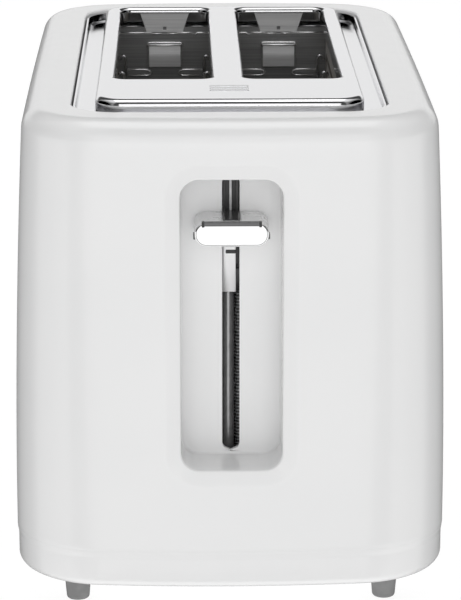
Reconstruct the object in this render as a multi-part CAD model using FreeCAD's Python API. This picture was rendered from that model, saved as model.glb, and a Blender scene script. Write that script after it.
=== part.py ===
import FreeCAD
import Part
import math
import os

# Two-slot pop-up toaster with its lever in one end.
# Millimetres. +Z is up, the lever end faces -Y, and the origin is on the table under the middle.

Vector = FreeCAD.Vector
X_AXIS = Vector(1, 0, 0)
Y_AXIS = Vector(0, 1, 0)
Z_AXIS = Vector(0, 0, 1)

# Housing
LENGTH = 277.0
HALF_LENGTH = LENGTH / 2
HALF_WIDTH = 83.4
RIM_Z = 190.5
SEAM_Z = 25.0
FLOOR_Z = 10.0
WALL = 2.6
CORNER_RADIUS = 36.0
END_CROWN_RADIUS = 535.0
SIDE_CROWN_RADIUS = 15000.0
TOP_EDGE_RADIUS = 8.0
EDGE_STEPS = 6
SIDE_LEVELS = 6
TAPER_START_Z = 35.0
TAPER_END_Z = 184.0
TAPER_INSET = 4.35
TAPER_POWER = 1.75
SKIRT_INSET = 0.5
SKIRT_WALL = 4.0
SKIRT_EDGE_RADIUS = 4.0
FLOOR_THICKNESS = 2.5
INSIDE_FLOOR_Z = FLOOR_Z + FLOOR_THICKNESS
LIP_HEIGHT = 4.0

# Top deck: distances along the body are measured from the lever end
OPENING_HALF_WIDTH = 60.0
OPENING_FRONT = 24.6
OPENING_REAR = 251.0
OPENING_RADIUS = 18.0
DECK_Z = 193.2
DECK_HALF_WIDTH = 51.0
DECK_FRONT = 32.7
DECK_REAR = 243.0
DECK_RADIUS = 11.0
DECK_EDGE_RADIUS = 2.5
TROUGH_Z = 185.0
TROUGH_WALL_TOP = 189.2
DECK_GAP = 0.7
SHEET = 0.8
SLOT_INNER = 6.2
SLOT_OUTER = 44.3
SLOT_FRONT = 75.3
SLOT_REAR = 236.8
SLOT_RADIUS = 5.0
SLOT_RIM_RADIUS = 2.0
SLOT_CENTRE = (SLOT_INNER + SLOT_OUTER) / 2

# Lever bay in the front end
BAY_HALF_WIDTH = 19.1
BAY_BOTTOM = 57.3
BAY_TOP = 168.7
BAY_RADIUS = 7.0
BAY_DEPTH = 22.0
BAY_WALL = 2.5
BAY_BORDER = 5.6
BAY_BORDER_DEPTH = 1.5
LEVER_SLOT_HALF = 3.25
LEVER_SLOT_BOTTOM = 58.7
LEVER_SLOT_TOP = 171.5

# Lever and carriage at rest, up
KNOB_HALF_WIDTH = 13.8
KNOB_BOTTOM = 143.9
KNOB_TOP = 153.2
KNOB_FRONT = 2.6
KNOB_CAP_THICKNESS = 2.4
KNOB_BACK = 21.2
KNOB_END_RADIUS = 4.0
ARM_HALF_WIDTH = 2.95
ARM_BOTTOM = 145.8
ARM_TOP = 150.2
SHUTTER_TOP = 167.4
CARRIAGE_BOTTOM = 120.5
CARRIAGE_TOP = 152.0
ROD_X = -0.9
ROD_AT = 33.5
ROD_RADIUS = 2.3
PIN_X = 4.2
PIN_AT = 39.5
PIN_RADIUS = 1.9
SPRING_RADIUS = 2.6
SPRING_BORE = 2.1
SPRING_BOTTOM = 22.0
SPRING_TOP = 148.0
RUNNING_GAP = 0.06

# Toasting chamber
END_PLATE_HALF = 51.0
FRONT_PLATE_AT = 70.0
REAR_PLATE_AT = 238.0
PLATE = 1.0
PLATE_BOTTOM = 30.0
PLATE_TOP = 184.4
GUIDE_PIVOT_Z = 36.0
GUIDE_TOP_Z = 171.0
GUIDE_INNER = 8.0
GUIDE_OUTER = 42.5
GUIDE_WIRE_RADIUS = 0.8
GUIDE_RAIL_RADIUS = 0.95
GUIDE_PIVOT_RADIUS = 1.1
GUIDE_WIRE_COUNT = 9
CARD_INNER = 4.0
CARD_OUTER = 46.2
CARD_THICKNESS = 0.6
CARD_BOTTOM = 44.0
CARD_TOP = 180.0
RIBBON_THICKNESS = 0.3
RIBBON_HEIGHT = 1.8
RIBBON_ROWS = 14

# Controls on the left side
PANEL_X = -75.5
PANEL_THICKNESS = 2.2
PANEL_AT = 72.0
PANEL_HALF_LENGTH = 28.0
PANEL_BOTTOM = 42.0
PANEL_TOP = 150.0
PANEL_RADIUS = 8.0
DIAL_Z = 70.0
DIAL_RADIUS = 17.0
DIAL_SHAFT_RADIUS = 3.0
BUTTON_Z = {"stop": 104.0, "reheat": 120.0, "defrost": 136.0}
BUTTON_AT = 67.0
BUTTON_HALF_LENGTH = 13.0
BUTTON_HALF_HEIGHT = 4.5
BUTTON_RADIUS = 3.0
BUTTON_GAP = 0.35
LENS_AT = 90.0
BOARD_X = -60.6

# Base hardware
FOOT_X = 59.2
FOOT_AT = (20.0, 257.0)
SCREW_X = 71.0
SCREW_AT = (60.0, 217.0)
TRAY_HALF_WIDTH = 36.0
TRAY_FRONT = 74.0
TRAY_REAR = 268.0
TRAY_BOTTOM = 13.0
TRAY_TOP = 19.0
GLAND_X = 47.0
GLAND_Z = 18.0
CORD_RADIUS = 3.3


def along(distance):
    """Y of a point at a distance behind the lever end."""
    return distance - HALF_LENGTH


def box(x0, x1, d0, d1, z0, z1):
    """Box between two corners, with its length measured from the lever end."""
    return Part.makeBox(x1 - x0, d1 - d0, z1 - z0, Vector(x0, along(d0), z0))


def upright(x, d, z0, z1, radius):
    """Cylinder along Z."""
    return Part.makeCylinder(radius, z1 - z0, Vector(x, along(d), z0), Z_AXIS)


def across(x0, x1, d, z, radius):
    """Cylinder along X."""
    return Part.makeCylinder(radius, x1 - x0, Vector(x0, along(d), z), X_AXIS)


def lengthways(x, d0, d1, z, radius):
    """Cylinder along Y."""
    return Part.makeCylinder(radius, d1 - d0, Vector(x, along(d0), z), Y_AXIS)


def rounded_outline(a0, a1, b0, b1, radius, place):
    """Rounded rectangle, where place turns a pair (a, b) into a point."""
    c = radius * (1 - math.sqrt(0.5))
    corners = [
        ((a1 - radius, b0), (a1 - c, b0 + c), (a1, b0 + radius)),
        ((a1, b1 - radius), (a1 - c, b1 - c), (a1 - radius, b1)),
        ((a0 + radius, b1), (a0 + c, b1 - c), (a0, b1 - radius)),
        ((a0, b0 + radius), (a0 + c, b0 + c), (a0 + radius, b0)),
    ]
    edges = []
    for index, corner in enumerate(corners):
        start, middle, end = [place(*pair) for pair in corner]
        edges.append(Part.Arc(start, middle, end).toShape())
        following = place(*corners[(index + 1) % 4][0])
        edges.append(Part.LineSegment(end, following).toShape())
    return Part.Wire(edges)


def plan_prism(x0, x1, d0, d1, radius, z0, z1):
    """Upright prism on a rounded rectangle."""
    wire = rounded_outline(x0, x1, d0, d1, radius, lambda a, b: Vector(a, along(b), z0))
    return Part.Face(wire).extrude(Vector(0, 0, z1 - z0))


def end_prism(x0, x1, z0, z1, radius, d0, d1):
    """Lengthways prism on a rounded rectangle seen from the lever end."""
    wire = rounded_outline(x0, x1, z0, z1, radius, lambda a, b: Vector(a, along(d0), b))
    return Part.Face(wire).extrude(Vector(0, d1 - d0, 0))


def side_prism(d0, d1, z0, z1, radius, x0, x1):
    """Crossways prism on a rounded rectangle seen from the side."""
    wire = rounded_outline(d0, d1, z0, z1, radius, lambda a, b: Vector(x0, along(a), b))
    return Part.Face(wire).extrude(Vector(x1 - x0, 0, 0))


def fillet_level(shape, radius, z, keep=lambda edge: True):
    """Round every edge that lies at one height."""
    edges = []
    for edge in shape.Edges:
        span = edge.BoundBox
        if abs(span.ZMin - z) < 1e-4 and abs(span.ZMax - z) < 1e-4 and keep(edge):
            edges.append(edge)
    return shape.makeFillet(radius, edges)


def fuse(shapes):
    """Join shapes that meet into one solid."""
    return shapes[0].multiFuse(shapes[1:]).removeSplitter()


def mirror(shape):
    """The same shape on the other side of the toaster."""
    return shape.mirror(Vector(0, 0, 0), X_AXIS)


def taper(z):
    """How far the sides and ends lean in at a height."""
    if z <= TAPER_START_Z:
        return 0.0
    return TAPER_INSET * ((z - TAPER_START_Z) / (TAPER_END_Z - TAPER_START_Z)) ** TAPER_POWER


def crowned_outline(inset, z):
    """Plan outline of the body: four long arcs joined by four tangent corner arcs."""
    half_x = HALF_WIDTH - inset
    half_y = HALF_LENGTH - inset
    corner = CORNER_RADIUS - inset
    side_reach = SIDE_CROWN_RADIUS - corner
    end_reach = END_CROWN_RADIUS - corner
    side_centre = half_x - SIDE_CROWN_RADIUS
    end_centre = half_y - END_CROWN_RADIUS
    gap = math.hypot(side_centre, end_centre)
    step = (side_reach ** 2 - end_reach ** 2 + gap ** 2) / (2 * gap)
    rise = math.sqrt(side_reach ** 2 - step ** 2)
    unit_x = -side_centre / gap
    unit_y = end_centre / gap
    centre_x = side_centre + step * unit_x - rise * unit_y
    centre_y = step * unit_y + rise * unit_x
    if centre_x < 0 or centre_y < 0:
        centre_x = side_centre + step * unit_x + rise * unit_y
        centre_y = step * unit_y - rise * unit_x
    side_angle = math.atan2(centre_y, centre_x - side_centre)
    end_angle = math.atan2(centre_y - end_centre, centre_x)
    side_x = side_centre + SIDE_CROWN_RADIUS * math.cos(side_angle)
    side_y = SIDE_CROWN_RADIUS * math.sin(side_angle)
    end_x = END_CROWN_RADIUS * math.cos(end_angle)
    end_y = end_centre + END_CROWN_RADIUS * math.sin(end_angle)
    middle = (side_angle + end_angle) / 2
    mid_x = centre_x + corner * math.cos(middle)
    mid_y = centre_y + corner * math.sin(middle)
    path = [
        (side_x, -side_y), (half_x, 0), (side_x, side_y), (mid_x, mid_y),
        (end_x, end_y), (0, half_y), (-end_x, end_y), (-mid_x, mid_y),
        (-side_x, side_y), (-half_x, 0), (-side_x, -side_y), (-mid_x, -mid_y),
        (-end_x, -end_y), (0, -half_y), (end_x, -end_y), (mid_x, -mid_y),
    ]
    points = [Vector(x, y, z) for x, y in path]
    edges = []
    for start in range(0, 16, 2):
        end = points[(start + 2) % 16]
        edges.append(Part.Arc(points[start], points[start + 1], end).toShape())
    return Part.Wire(edges)


def body_solid(inset, z0, z1, edge_radius):
    """The body's tapered shape between two heights, drawn in by an inset, with its top edge rounded."""
    shoulder = z1 - edge_radius
    wires = []
    for level in range(SIDE_LEVELS):
        z = z0 + (shoulder - z0) * level / SIDE_LEVELS
        wires.append(crowned_outline(inset + taper(z), z))
    for step in range(EDGE_STEPS + 1):
        angle = math.radians(90 * step / EDGE_STEPS)
        z = shoulder + edge_radius * math.sin(angle)
        wires.append(crowned_outline(inset + taper(z) + edge_radius * (1 - math.cos(angle)), z))
    return Part.makeLoft(wires, True, True)


def straight_body(inset, z0, z1):
    """The body's plan, drawn in by an inset, straight up between two heights."""
    return Part.makeLoft([crowned_outline(inset, z0), crowned_outline(inset, z1)], True, True)


def outer_shell():
    """White moulding: tapered sides, rounded top edge, deck opening, lever bay and control pocket."""
    outer = body_solid(0, SEAM_Z, RIM_Z, TOP_EDGE_RADIUS)
    inner = body_solid(WALL, SEAM_Z - 1, RIM_Z - WALL, TOP_EDGE_RADIUS - WALL)
    shell = outer.cut(inner)
    bay_box = end_prism(-BAY_HALF_WIDTH - BAY_WALL, BAY_HALF_WIDTH + BAY_WALL, BAY_BOTTOM - BAY_WALL,
                        BAY_TOP + BAY_WALL, BAY_RADIUS + BAY_WALL, -1, BAY_DEPTH + BAY_WALL)
    pocket_box = side_prism(PANEL_AT - PANEL_HALF_LENGTH - 2, PANEL_AT + PANEL_HALF_LENGTH + 2,
                            PANEL_BOTTOM - 2, PANEL_TOP + 2, PANEL_RADIUS + 2, -HALF_WIDTH - 1, -71)
    walls = [bay_box.common(outer), pocket_box.common(outer)]
    for d in SCREW_AT:
        for side in (-1, 1):
            post = upright(side * SCREW_X, d, SEAM_Z, 60, 4.5)
            rib = box(min(side * SCREW_X, side * 83), max(side * SCREW_X, side * 83), d - 1.5, d + 1.5,
                      SEAM_Z + LIP_HEIGHT + 0.4, 60)
            walls.append(post.fuse(rib).common(outer))
    shell = fuse([shell] + walls)
    shell = shell.cut(plan_prism(-OPENING_HALF_WIDTH, OPENING_HALF_WIDTH, OPENING_FRONT, OPENING_REAR,
                                 OPENING_RADIUS, RIM_Z - 10, RIM_Z + 10))
    shell = shell.cut(end_prism(-BAY_HALF_WIDTH, BAY_HALF_WIDTH, BAY_BOTTOM, BAY_TOP, BAY_RADIUS,
                                -10, BAY_DEPTH))
    shell = shell.cut(end_prism(-LEVER_SLOT_HALF, LEVER_SLOT_HALF, LEVER_SLOT_BOTTOM, LEVER_SLOT_TOP,
                                LEVER_SLOT_HALF - 0.01, BAY_DEPTH - 1, BAY_DEPTH + 5))
    shell = shell.cut(bay_border())
    shell = shell.cut(side_prism(PANEL_AT - PANEL_HALF_LENGTH, PANEL_AT + PANEL_HALF_LENGTH,
                                 PANEL_BOTTOM, PANEL_TOP, PANEL_RADIUS, -HALF_WIDTH - 10, -60))
    for d in SCREW_AT:
        for side in (-1, 1):
            shell = shell.cut(upright(side * SCREW_X, d, SEAM_Z - 1, 42, 1.55))
    return shell


def bay_border():
    """Cutter for the shallow bevel around the lever bay, leaning back with the front end."""
    lean = (taper(BAY_TOP) - taper(BAY_BOTTOM)) / (BAY_TOP - BAY_BOTTOM)
    start = taper(BAY_BOTTOM) - lean * BAY_BOTTOM
    wires = []
    for depth in (-2.0, BAY_BORDER_DEPTH + 0.4):
        grow = BAY_BORDER * (1 - depth / BAY_BORDER_DEPTH)
        half = BAY_HALF_WIDTH + grow
        low = BAY_BOTTOM - grow
        high = BAY_TOP + grow
        wires.append(rounded_outline(-half, half, low, high, BAY_RADIUS + grow,
                                     lambda a, b: Vector(a, along(start + lean * b + depth), b)))
    return Part.makeLoft(wires, True, True)


def base_cover():
    """White skirt and floor with a lip inside the shell, bosses, tray rails and the tray's doorway."""
    wires = []
    for step in range(5):
        angle = math.radians(90 * step / 4)
        inset = SKIRT_INSET + SKIRT_EDGE_RADIUS * (1 - math.sin(angle))
        wires.append(crowned_outline(inset, FLOOR_Z + SKIRT_EDGE_RADIUS * (1 - math.cos(angle))))
    skirt = Part.makeLoft(wires, True, False)
    upper = straight_body(SKIRT_INSET, FLOOR_Z + SKIRT_EDGE_RADIUS, SEAM_Z)
    lip_inset = WALL + 0.4
    lip = straight_body(lip_inset, SEAM_Z - 1, SEAM_Z + LIP_HEIGHT)
    hollow = straight_body(SKIRT_INSET + SKIRT_WALL, INSIDE_FLOOR_Z, SEAM_Z + 5)
    cover = fuse([skirt, upper, lip]).cut(hollow)
    bosses = []
    for d in SCREW_AT:
        for side in (-1, 1):
            bosses.append(upright(side * SCREW_X, d, FLOOR_Z + 1, SEAM_Z, 4.5))
    bosses.append(upright(ROD_X, ROD_AT, FLOOR_Z + 1, 20, 5.0))
    bosses.append(upright(PIN_X, PIN_AT, FLOOR_Z + 1, SPRING_BOTTOM, 4.0))
    bosses.append(box(-22, -6, 45, 59, FLOOR_Z + 1, 20.6))
    bosses.append(box(14, 26, 48, 60, FLOOR_Z + 1, 20.6))
    for side in (-1, 1):
        rail = TRAY_HALF_WIDTH + 0.5
        bosses.append(box(min(side * rail, side * (rail + 2)), max(side * rail, side * (rail + 2)),
                          TRAY_FRONT + 4, 270, FLOOR_Z + 1, 18.5))
    cover = fuse([cover] + bosses)
    cuts = [
        upright(ROD_X, ROD_AT, 14, 30, ROD_RADIUS + 0.05),
        upright(PIN_X, PIN_AT, 14, 30, PIN_RADIUS + 0.05),
        box(-TRAY_HALF_WIDTH - 0.5, TRAY_HALF_WIDTH + 0.5, 255, 290, INSIDE_FLOOR_Z, 20.5),
        box(-TRAY_HALF_WIDTH - 4.5, TRAY_HALF_WIDTH + 4.5, TRAY_REAR - 0.4, 290, 11.2, 30),
        lengthways(GLAND_X, 260, 290, GLAND_Z, 5.0),
    ]
    for d in SCREW_AT:
        for side in (-1, 1):
            cuts.append(upright(side * SCREW_X, d, FLOOR_Z - 1, SEAM_Z + 1, 1.7))
            cuts.append(upright(side * SCREW_X, d, FLOOR_Z - 1, FLOOR_Z + 2.4, 3.2))
    for d in FOOT_AT:
        for side in (-1, 1):
            cuts.append(upright(side * FOOT_X, d, FLOOR_Z - 1, FLOOR_Z + 1.2, 5.4))
    for cutter in cuts:
        cover = cover.cut(cutter)
    return cover


def foot(side, d):
    """Tapered rubber foot in a shallow recess."""
    cone = Part.makeCone(4.5, 5.2, FLOOR_Z - 0.8, Vector(side * FOOT_X, along(d), 0.8), Z_AXIS)
    tip = Part.makeCone(3.8, 4.5, 0.8, Vector(side * FOOT_X, along(d), 0), Z_AXIS)
    pad = upright(side * FOOT_X, d, FLOOR_Z, FLOOR_Z + 1.2, 5.2)
    return fuse([tip, cone, pad])


def base_screws():
    """Four screws that hold the base to the shell's posts."""
    screws = []
    for d in SCREW_AT:
        for side in (-1, 1):
            head = upright(side * SCREW_X, d, FLOOR_Z + 0.5, FLOOR_Z + 2.4, 2.9)
            socket = upright(side * SCREW_X, d, FLOOR_Z, FLOOR_Z + 1.3, 1.3)
            shank = upright(side * SCREW_X, d, FLOOR_Z + 2.3, 38, 1.5)
            screws.append(head.fuse(shank).removeSplitter().cut(socket))
    return Part.makeCompound(screws)


def slot_prism(side, grow, z0, z1):
    """Prism through one bread slot, grown by a margin."""
    inner = SLOT_INNER - grow
    outer = SLOT_OUTER + grow
    return plan_prism(min(side * inner, side * outer), max(side * inner, side * outer), SLOT_FRONT - grow,
                      SLOT_REAR + grow, SLOT_RADIUS + grow, z0, z1)


def platform(inset, z1, edge_radius, rim_radius, z0):
    """The deck's raised block with its slots, drawn in by a sheet thickness."""
    block = plan_prism(-DECK_HALF_WIDTH + inset, DECK_HALF_WIDTH - inset, DECK_FRONT + inset,
                       DECK_REAR - inset, DECK_RADIUS - inset, z0, z1)
    block = fillet_level(block, edge_radius, z1)
    for side in (-1, 1):
        block = block.cut(slot_prism(side, inset, z0 - 1, z1 + 1))

    def on_slot(edge):
        span = edge.BoundBox
        across_slots = span.XMin > -SLOT_OUTER - 2 and span.XMax < SLOT_OUTER + 2
        return across_slots and span.YMin > along(SLOT_FRONT - 2) and span.YMax < along(SLOT_REAR + 2)

    return fillet_level(block, rim_radius, z1, on_slot)


def top_deck():
    """Pressed steel pan: trough, raised deck and two slots with turned-down rims."""
    half = OPENING_HALF_WIDTH - DECK_GAP
    front = OPENING_FRONT + DECK_GAP
    rear = OPENING_REAR - DECK_GAP
    radius = OPENING_RADIUS - DECK_GAP
    pan = plan_prism(-half, half, front, rear, radius, TROUGH_Z, TROUGH_WALL_TOP)
    trough = plan_prism(-half + SHEET, half - SHEET, front + SHEET, rear - SHEET, radius - SHEET,
                        TROUGH_Z + SHEET, TROUGH_WALL_TOP + 1)
    raised = platform(0, DECK_Z, DECK_EDGE_RADIUS, SLOT_RIM_RADIUS, TROUGH_Z)
    hollow = platform(SHEET, DECK_Z - SHEET, DECK_EDGE_RADIUS - SHEET, SLOT_RIM_RADIUS - SHEET, TROUGH_Z - 1)
    deck = pan.cut(trough).fuse(raised)
    for side in (-1, 1):
        deck = deck.cut(slot_prism(side, 0, TROUGH_Z - 1, TROUGH_Z + 4))
    return deck.cut(hollow).removeSplitter()


def end_plate(d, rack_slots):
    """Steel end plate of the chamber, on two legs, with pivot holes for the bread guides."""
    plate = box(-END_PLATE_HALF, END_PLATE_HALF, d, d + PLATE, PLATE_BOTTOM, PLATE_TOP)
    for side in (-1, 1):
        inner = TRAY_HALF_WIDTH + 5
        leg = box(min(side * inner, side * END_PLATE_HALF), max(side * inner, side * END_PLATE_HALF),
                  d, d + PLATE, INSIDE_FLOOR_Z, PLATE_BOTTOM)
        plate = plate.fuse(leg)
    for side in (-1, 1):
        for x in (GUIDE_INNER, GUIDE_OUTER):
            hole = lengthways(side * x, d - 1, d + 2, GUIDE_PIVOT_Z, GUIDE_PIVOT_RADIUS + RUNNING_GAP)
            plate = plate.cut(hole)
        if rack_slots:
            plate = plate.cut(box(side * SLOT_CENTRE - 1.6, side * SLOT_CENTRE + 1.6, d - 1, d + 2, 34, 134))
    return plate.removeSplitter()


def front_end_plate():
    """Chamber end plate behind the carriage, slotted for the racks."""
    return end_plate(FRONT_PLATE_AT, True)


def rear_end_plate():
    """Far chamber end plate with a raised box and two beads in line with each slot."""
    plate = end_plate(REAR_PLATE_AT, False)
    raised = []
    for side in (-1, 1):
        x = side * SLOT_CENTRE
        raised.append(box(x - 7.6, x + 7.6, REAR_PLATE_AT - 1.6, REAR_PLATE_AT, 166.5, 177.7))
        raised.append(box(x - 17.5, x - 6.5, REAR_PLATE_AT - 0.9, REAR_PLATE_AT, 162.8, 165.7))
        raised.append(box(x + 6.5, x + 17.5, REAR_PLATE_AT - 0.9, REAR_PLATE_AT, 162.8, 165.7))
    return fuse([plate] + raised)


def side_reflector():
    """Bright sheet outside the outer heaters, with turned edges at top and bottom."""
    sheet = box(49.6, 50.4, FRONT_PLATE_AT + PLATE, REAR_PLATE_AT, 31, 183)
    top = box(48.2, 49.6, FRONT_PLATE_AT + PLATE, REAR_PLATE_AT, 182.2, 183)
    bottom = box(48.2, 49.6, FRONT_PLATE_AT + PLATE, REAR_PLATE_AT, 31, 31.8)
    return fuse([sheet, top, bottom])


def centre_shield():
    """Sheet between the two inner heaters."""
    return box(-0.4, 0.4, FRONT_PLATE_AT + PLATE, REAR_PLATE_AT, 34, 182)


def heater_card(inner_face):
    """Mica card on the right side, whose wound face is the one named."""
    return box(inner_face, inner_face + CARD_THICKNESS, FRONT_PLATE_AT + PLATE, REAR_PLATE_AT,
               CARD_BOTTOM, CARD_TOP)


def heater_ribbon(face, outward):
    """Flat resistance ribbon laid back and forth across a card's face."""
    x0 = min(face, face + outward * RIBBON_THICKNESS)
    x1 = max(face, face + outward * RIBBON_THICKNESS)
    front = FRONT_PLATE_AT + 9
    rear = REAR_PLATE_AT - 8
    pitch = (CARD_TOP - CARD_BOTTOM - 16) / (RIBBON_ROWS - 1)
    strips = []
    for row in range(RIBBON_ROWS):
        z = CARD_BOTTOM + 8 + row * pitch
        strips.append(box(x0, x1, front, rear, z, z + RIBBON_HEIGHT))
        if row < RIBBON_ROWS - 1:
            d = rear - RIBBON_HEIGHT if row % 2 == 0 else front
            strips.append(box(x0, x1, d, d + RIBBON_HEIGHT, z, z + pitch + RIBBON_HEIGHT))
    return fuse(strips)


def bread_guide(x, lean):
    """Wire grille pivoting on its bottom bar, its wire tops turned away from the bread."""
    bar = lengthways(x, FRONT_PLATE_AT - 1.5, REAR_PLATE_AT + PLATE + 1.5, GUIDE_PIVOT_Z, GUIDE_PIVOT_RADIUS)
    pieces = [bar]
    first = FRONT_PLATE_AT + 8
    pitch = (REAR_PLATE_AT - 4 - first) / (GUIDE_WIRE_COUNT - 1)
    for index in range(GUIDE_WIRE_COUNT):
        d = first + index * pitch
        pieces.append(upright(x, d, GUIDE_PIVOT_Z, GUIDE_TOP_Z, GUIDE_WIRE_RADIUS))
        pieces.append(Part.makeSphere(GUIDE_WIRE_RADIUS, Vector(x, along(d), GUIDE_TOP_Z)))
        pieces.append(Part.makeCylinder(GUIDE_WIRE_RADIUS, 2.6, Vector(x, along(d), GUIDE_TOP_Z),
                                        Vector(lean, 0, -0.35)))
    for z in (70.0, 112.0, 164.2):
        pieces.append(lengthways(x, first - 3, REAR_PLATE_AT - 1, z, GUIDE_RAIL_RADIUS))
    return fuse(pieces)


def lever_knob():
    """White grip with a notch behind that takes the lever arm."""
    grip = end_prism(-KNOB_HALF_WIDTH, KNOB_HALF_WIDTH, KNOB_BOTTOM, KNOB_TOP, KNOB_END_RADIUS,
                     KNOB_FRONT + KNOB_CAP_THICKNESS, KNOB_BACK)
    return grip.cut(box(-ARM_HALF_WIDTH - 0.1, ARM_HALF_WIDTH + 0.1, KNOB_FRONT + 4, KNOB_BACK + 1,
                        ARM_BOTTOM - 0.1, KNOB_TOP + 1))


def knob_cap():
    """Bright metal face plate with a bevelled edge."""
    plate = end_prism(-KNOB_HALF_WIDTH, KNOB_HALF_WIDTH, KNOB_BOTTOM, KNOB_TOP, KNOB_END_RADIUS,
                      KNOB_FRONT, KNOB_FRONT + KNOB_CAP_THICKNESS)
    front = [edge for edge in plate.Edges
             if edge.BoundBox.YMax < along(KNOB_FRONT) + 1e-4]
    return plate.makeChamfer(1.2, front)


def lever_arm():
    """Black tongue from the knob through the bay's slot to the carriage."""
    return box(-ARM_HALF_WIDTH, ARM_HALF_WIDTH, KNOB_FRONT + 4.2, 26, ARM_BOTTOM, ARM_TOP)


def slot_shutter():
    """Black grooved strip on the arm, which closes the lever's slot above it."""
    strip = box(-ARM_HALF_WIDTH, ARM_HALF_WIDTH, 22.2, 24.2, ARM_TOP, SHUTTER_TOP)
    for x0, x1 in ((-2.0, -0.9), (0.65, 1.65)):
        strip = strip.cut(box(x0, x1, 22, 23.2, ARM_TOP + 2, SHUTTER_TOP - 0.8))
    return strip


def lever_bracket():
    """Bright steel strip down the front of the carriage block, with a slot near its top."""
    strip = box(-3.3, 1.95, 26, 27, CARRIAGE_BOTTOM, CARRIAGE_TOP)
    hook = box(-3.3, 1.95, 27, 30, CARRIAGE_TOP, CARRIAGE_TOP + 1)
    crest = box(-3.3, 1.95, 26, 27, CARRIAGE_TOP, CARRIAGE_TOP + 1)
    return fuse([strip, crest, hook]).cut(box(-1.9, 1.4, 25, 27.5, 141.2, 142.4))


def carriage_block():
    """Black slider on the guide rod, hollow below for the lift spring."""
    block = box(-6.5, 8.5, 27, 44, CARRIAGE_BOTTOM, CARRIAGE_TOP)
    cuts = [
        upright(ROD_X, ROD_AT, CARRIAGE_BOTTOM - 1, CARRIAGE_TOP + 1, ROD_RADIUS + RUNNING_GAP),
        upright(PIN_X, PIN_AT, CARRIAGE_BOTTOM - 1, CARRIAGE_TOP + 1, PIN_RADIUS + RUNNING_GAP),
        upright(PIN_X, PIN_AT, CARRIAGE_BOTTOM - 1, SPRING_TOP, SPRING_RADIUS + 0.4),
        box(2.1, 3.5, 26.5, 28.5, 129.4, 131.0),
    ]
    for cutter in cuts:
        block = block.cut(cutter)
    return block


def carriage_plate():
    """Steel cross plate that carries both racks, with a flange for the armature."""
    cross = box(-30, 30, 44, 45.2, 121, 141)
    flange = box(-21, -8, 45.2, 58, 121, 122.2)
    return fuse([cross, flange])


def armature_plate():
    """Soft iron plate that the latch magnet holds."""
    return plan_prism(-21, -8, 46, 58, 2, 118, 121)


def bread_rack(side):
    """Steel spine with cross bars that the bread stands on."""
    x = side * SLOT_CENTRE
    pieces = [box(x - 0.6, x + 0.6, 45.2, REAR_PLATE_AT - 3, 118, 127)]
    count = 11
    for index in range(count):
        d = 79 + index * (REAR_PLATE_AT - 8 - 79) / (count - 1)
        pieces.append(box(x - 12, x + 12, d - 1.5, d + 1.5, 125.8, 127))
    return fuse(pieces)


def rod_bracket():
    """Angle on the chamber's front plate that holds the tops of the rod and the spring pin."""
    shelf = box(-9, 12, 28, FRONT_PLATE_AT, 172, 174)
    flange = box(-9, 12, FRONT_PLATE_AT - 1.5, FRONT_PLATE_AT, 158, 174)
    bracket = fuse([shelf, flange])
    bracket = bracket.cut(upright(ROD_X, ROD_AT, 171, 175, ROD_RADIUS + 0.05))
    return bracket.cut(upright(PIN_X, PIN_AT, 171, 175, PIN_RADIUS + 0.05))


def guide_rod():
    """Polished rod that the carriage runs on."""
    return upright(ROD_X, ROD_AT, 14, 175, ROD_RADIUS)


def spring_pin():
    """Thinner rod inside the lift spring, which also stops the carriage from turning."""
    return upright(PIN_X, PIN_AT, 14, 175, PIN_RADIUS)


def lift_spring():
    """Space taken by the compression spring that lifts the carriage."""
    outer = upright(PIN_X, PIN_AT, SPRING_BOTTOM, SPRING_TOP, SPRING_RADIUS)
    return outer.cut(upright(PIN_X, PIN_AT, SPRING_BOTTOM, SPRING_TOP, SPRING_BORE))


def magnet_bracket():
    """Steel base of the latch magnet."""
    plate = box(-22, -6, 45, 59, 20.6, 22)
    wing = box(-22, -20.6, 45, 59, 22, 36)
    return fuse([plate, wing])


def magnet_core():
    """Iron core of the latch magnet."""
    return fuse([upright(-13, 52, 22, 36, 3), upright(-13, 52, 36, 37.4, 4)])


def magnet_coil():
    """Wound coil on its bobbin."""
    winding = upright(-13, 52, 23, 35, 6.4)
    flanges = [upright(-13, 52, 22, 23, 6.9), upright(-13, 52, 35, 36, 6.9)]
    return fuse([winding] + flanges).cut(upright(-13, 52, 21, 37, 3.05))


def contact_block():
    """Insulating block of the mains contacts."""
    return fuse([box(14, 26, 48, 60, 20.6, 28), box(14, 26, 52, 56, 28, 32)])


def power_contacts():
    """Two pairs of brass leaves that the carriage closes."""
    leaves = []
    for x in (16, 22):
        leaves.append(box(x, x + 2.4, 51.4, 52, 28, 39))
        leaves.append(box(x, x + 2.4, 56, 56.6, 28, 39))
    return Part.makeCompound(leaves)


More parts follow.
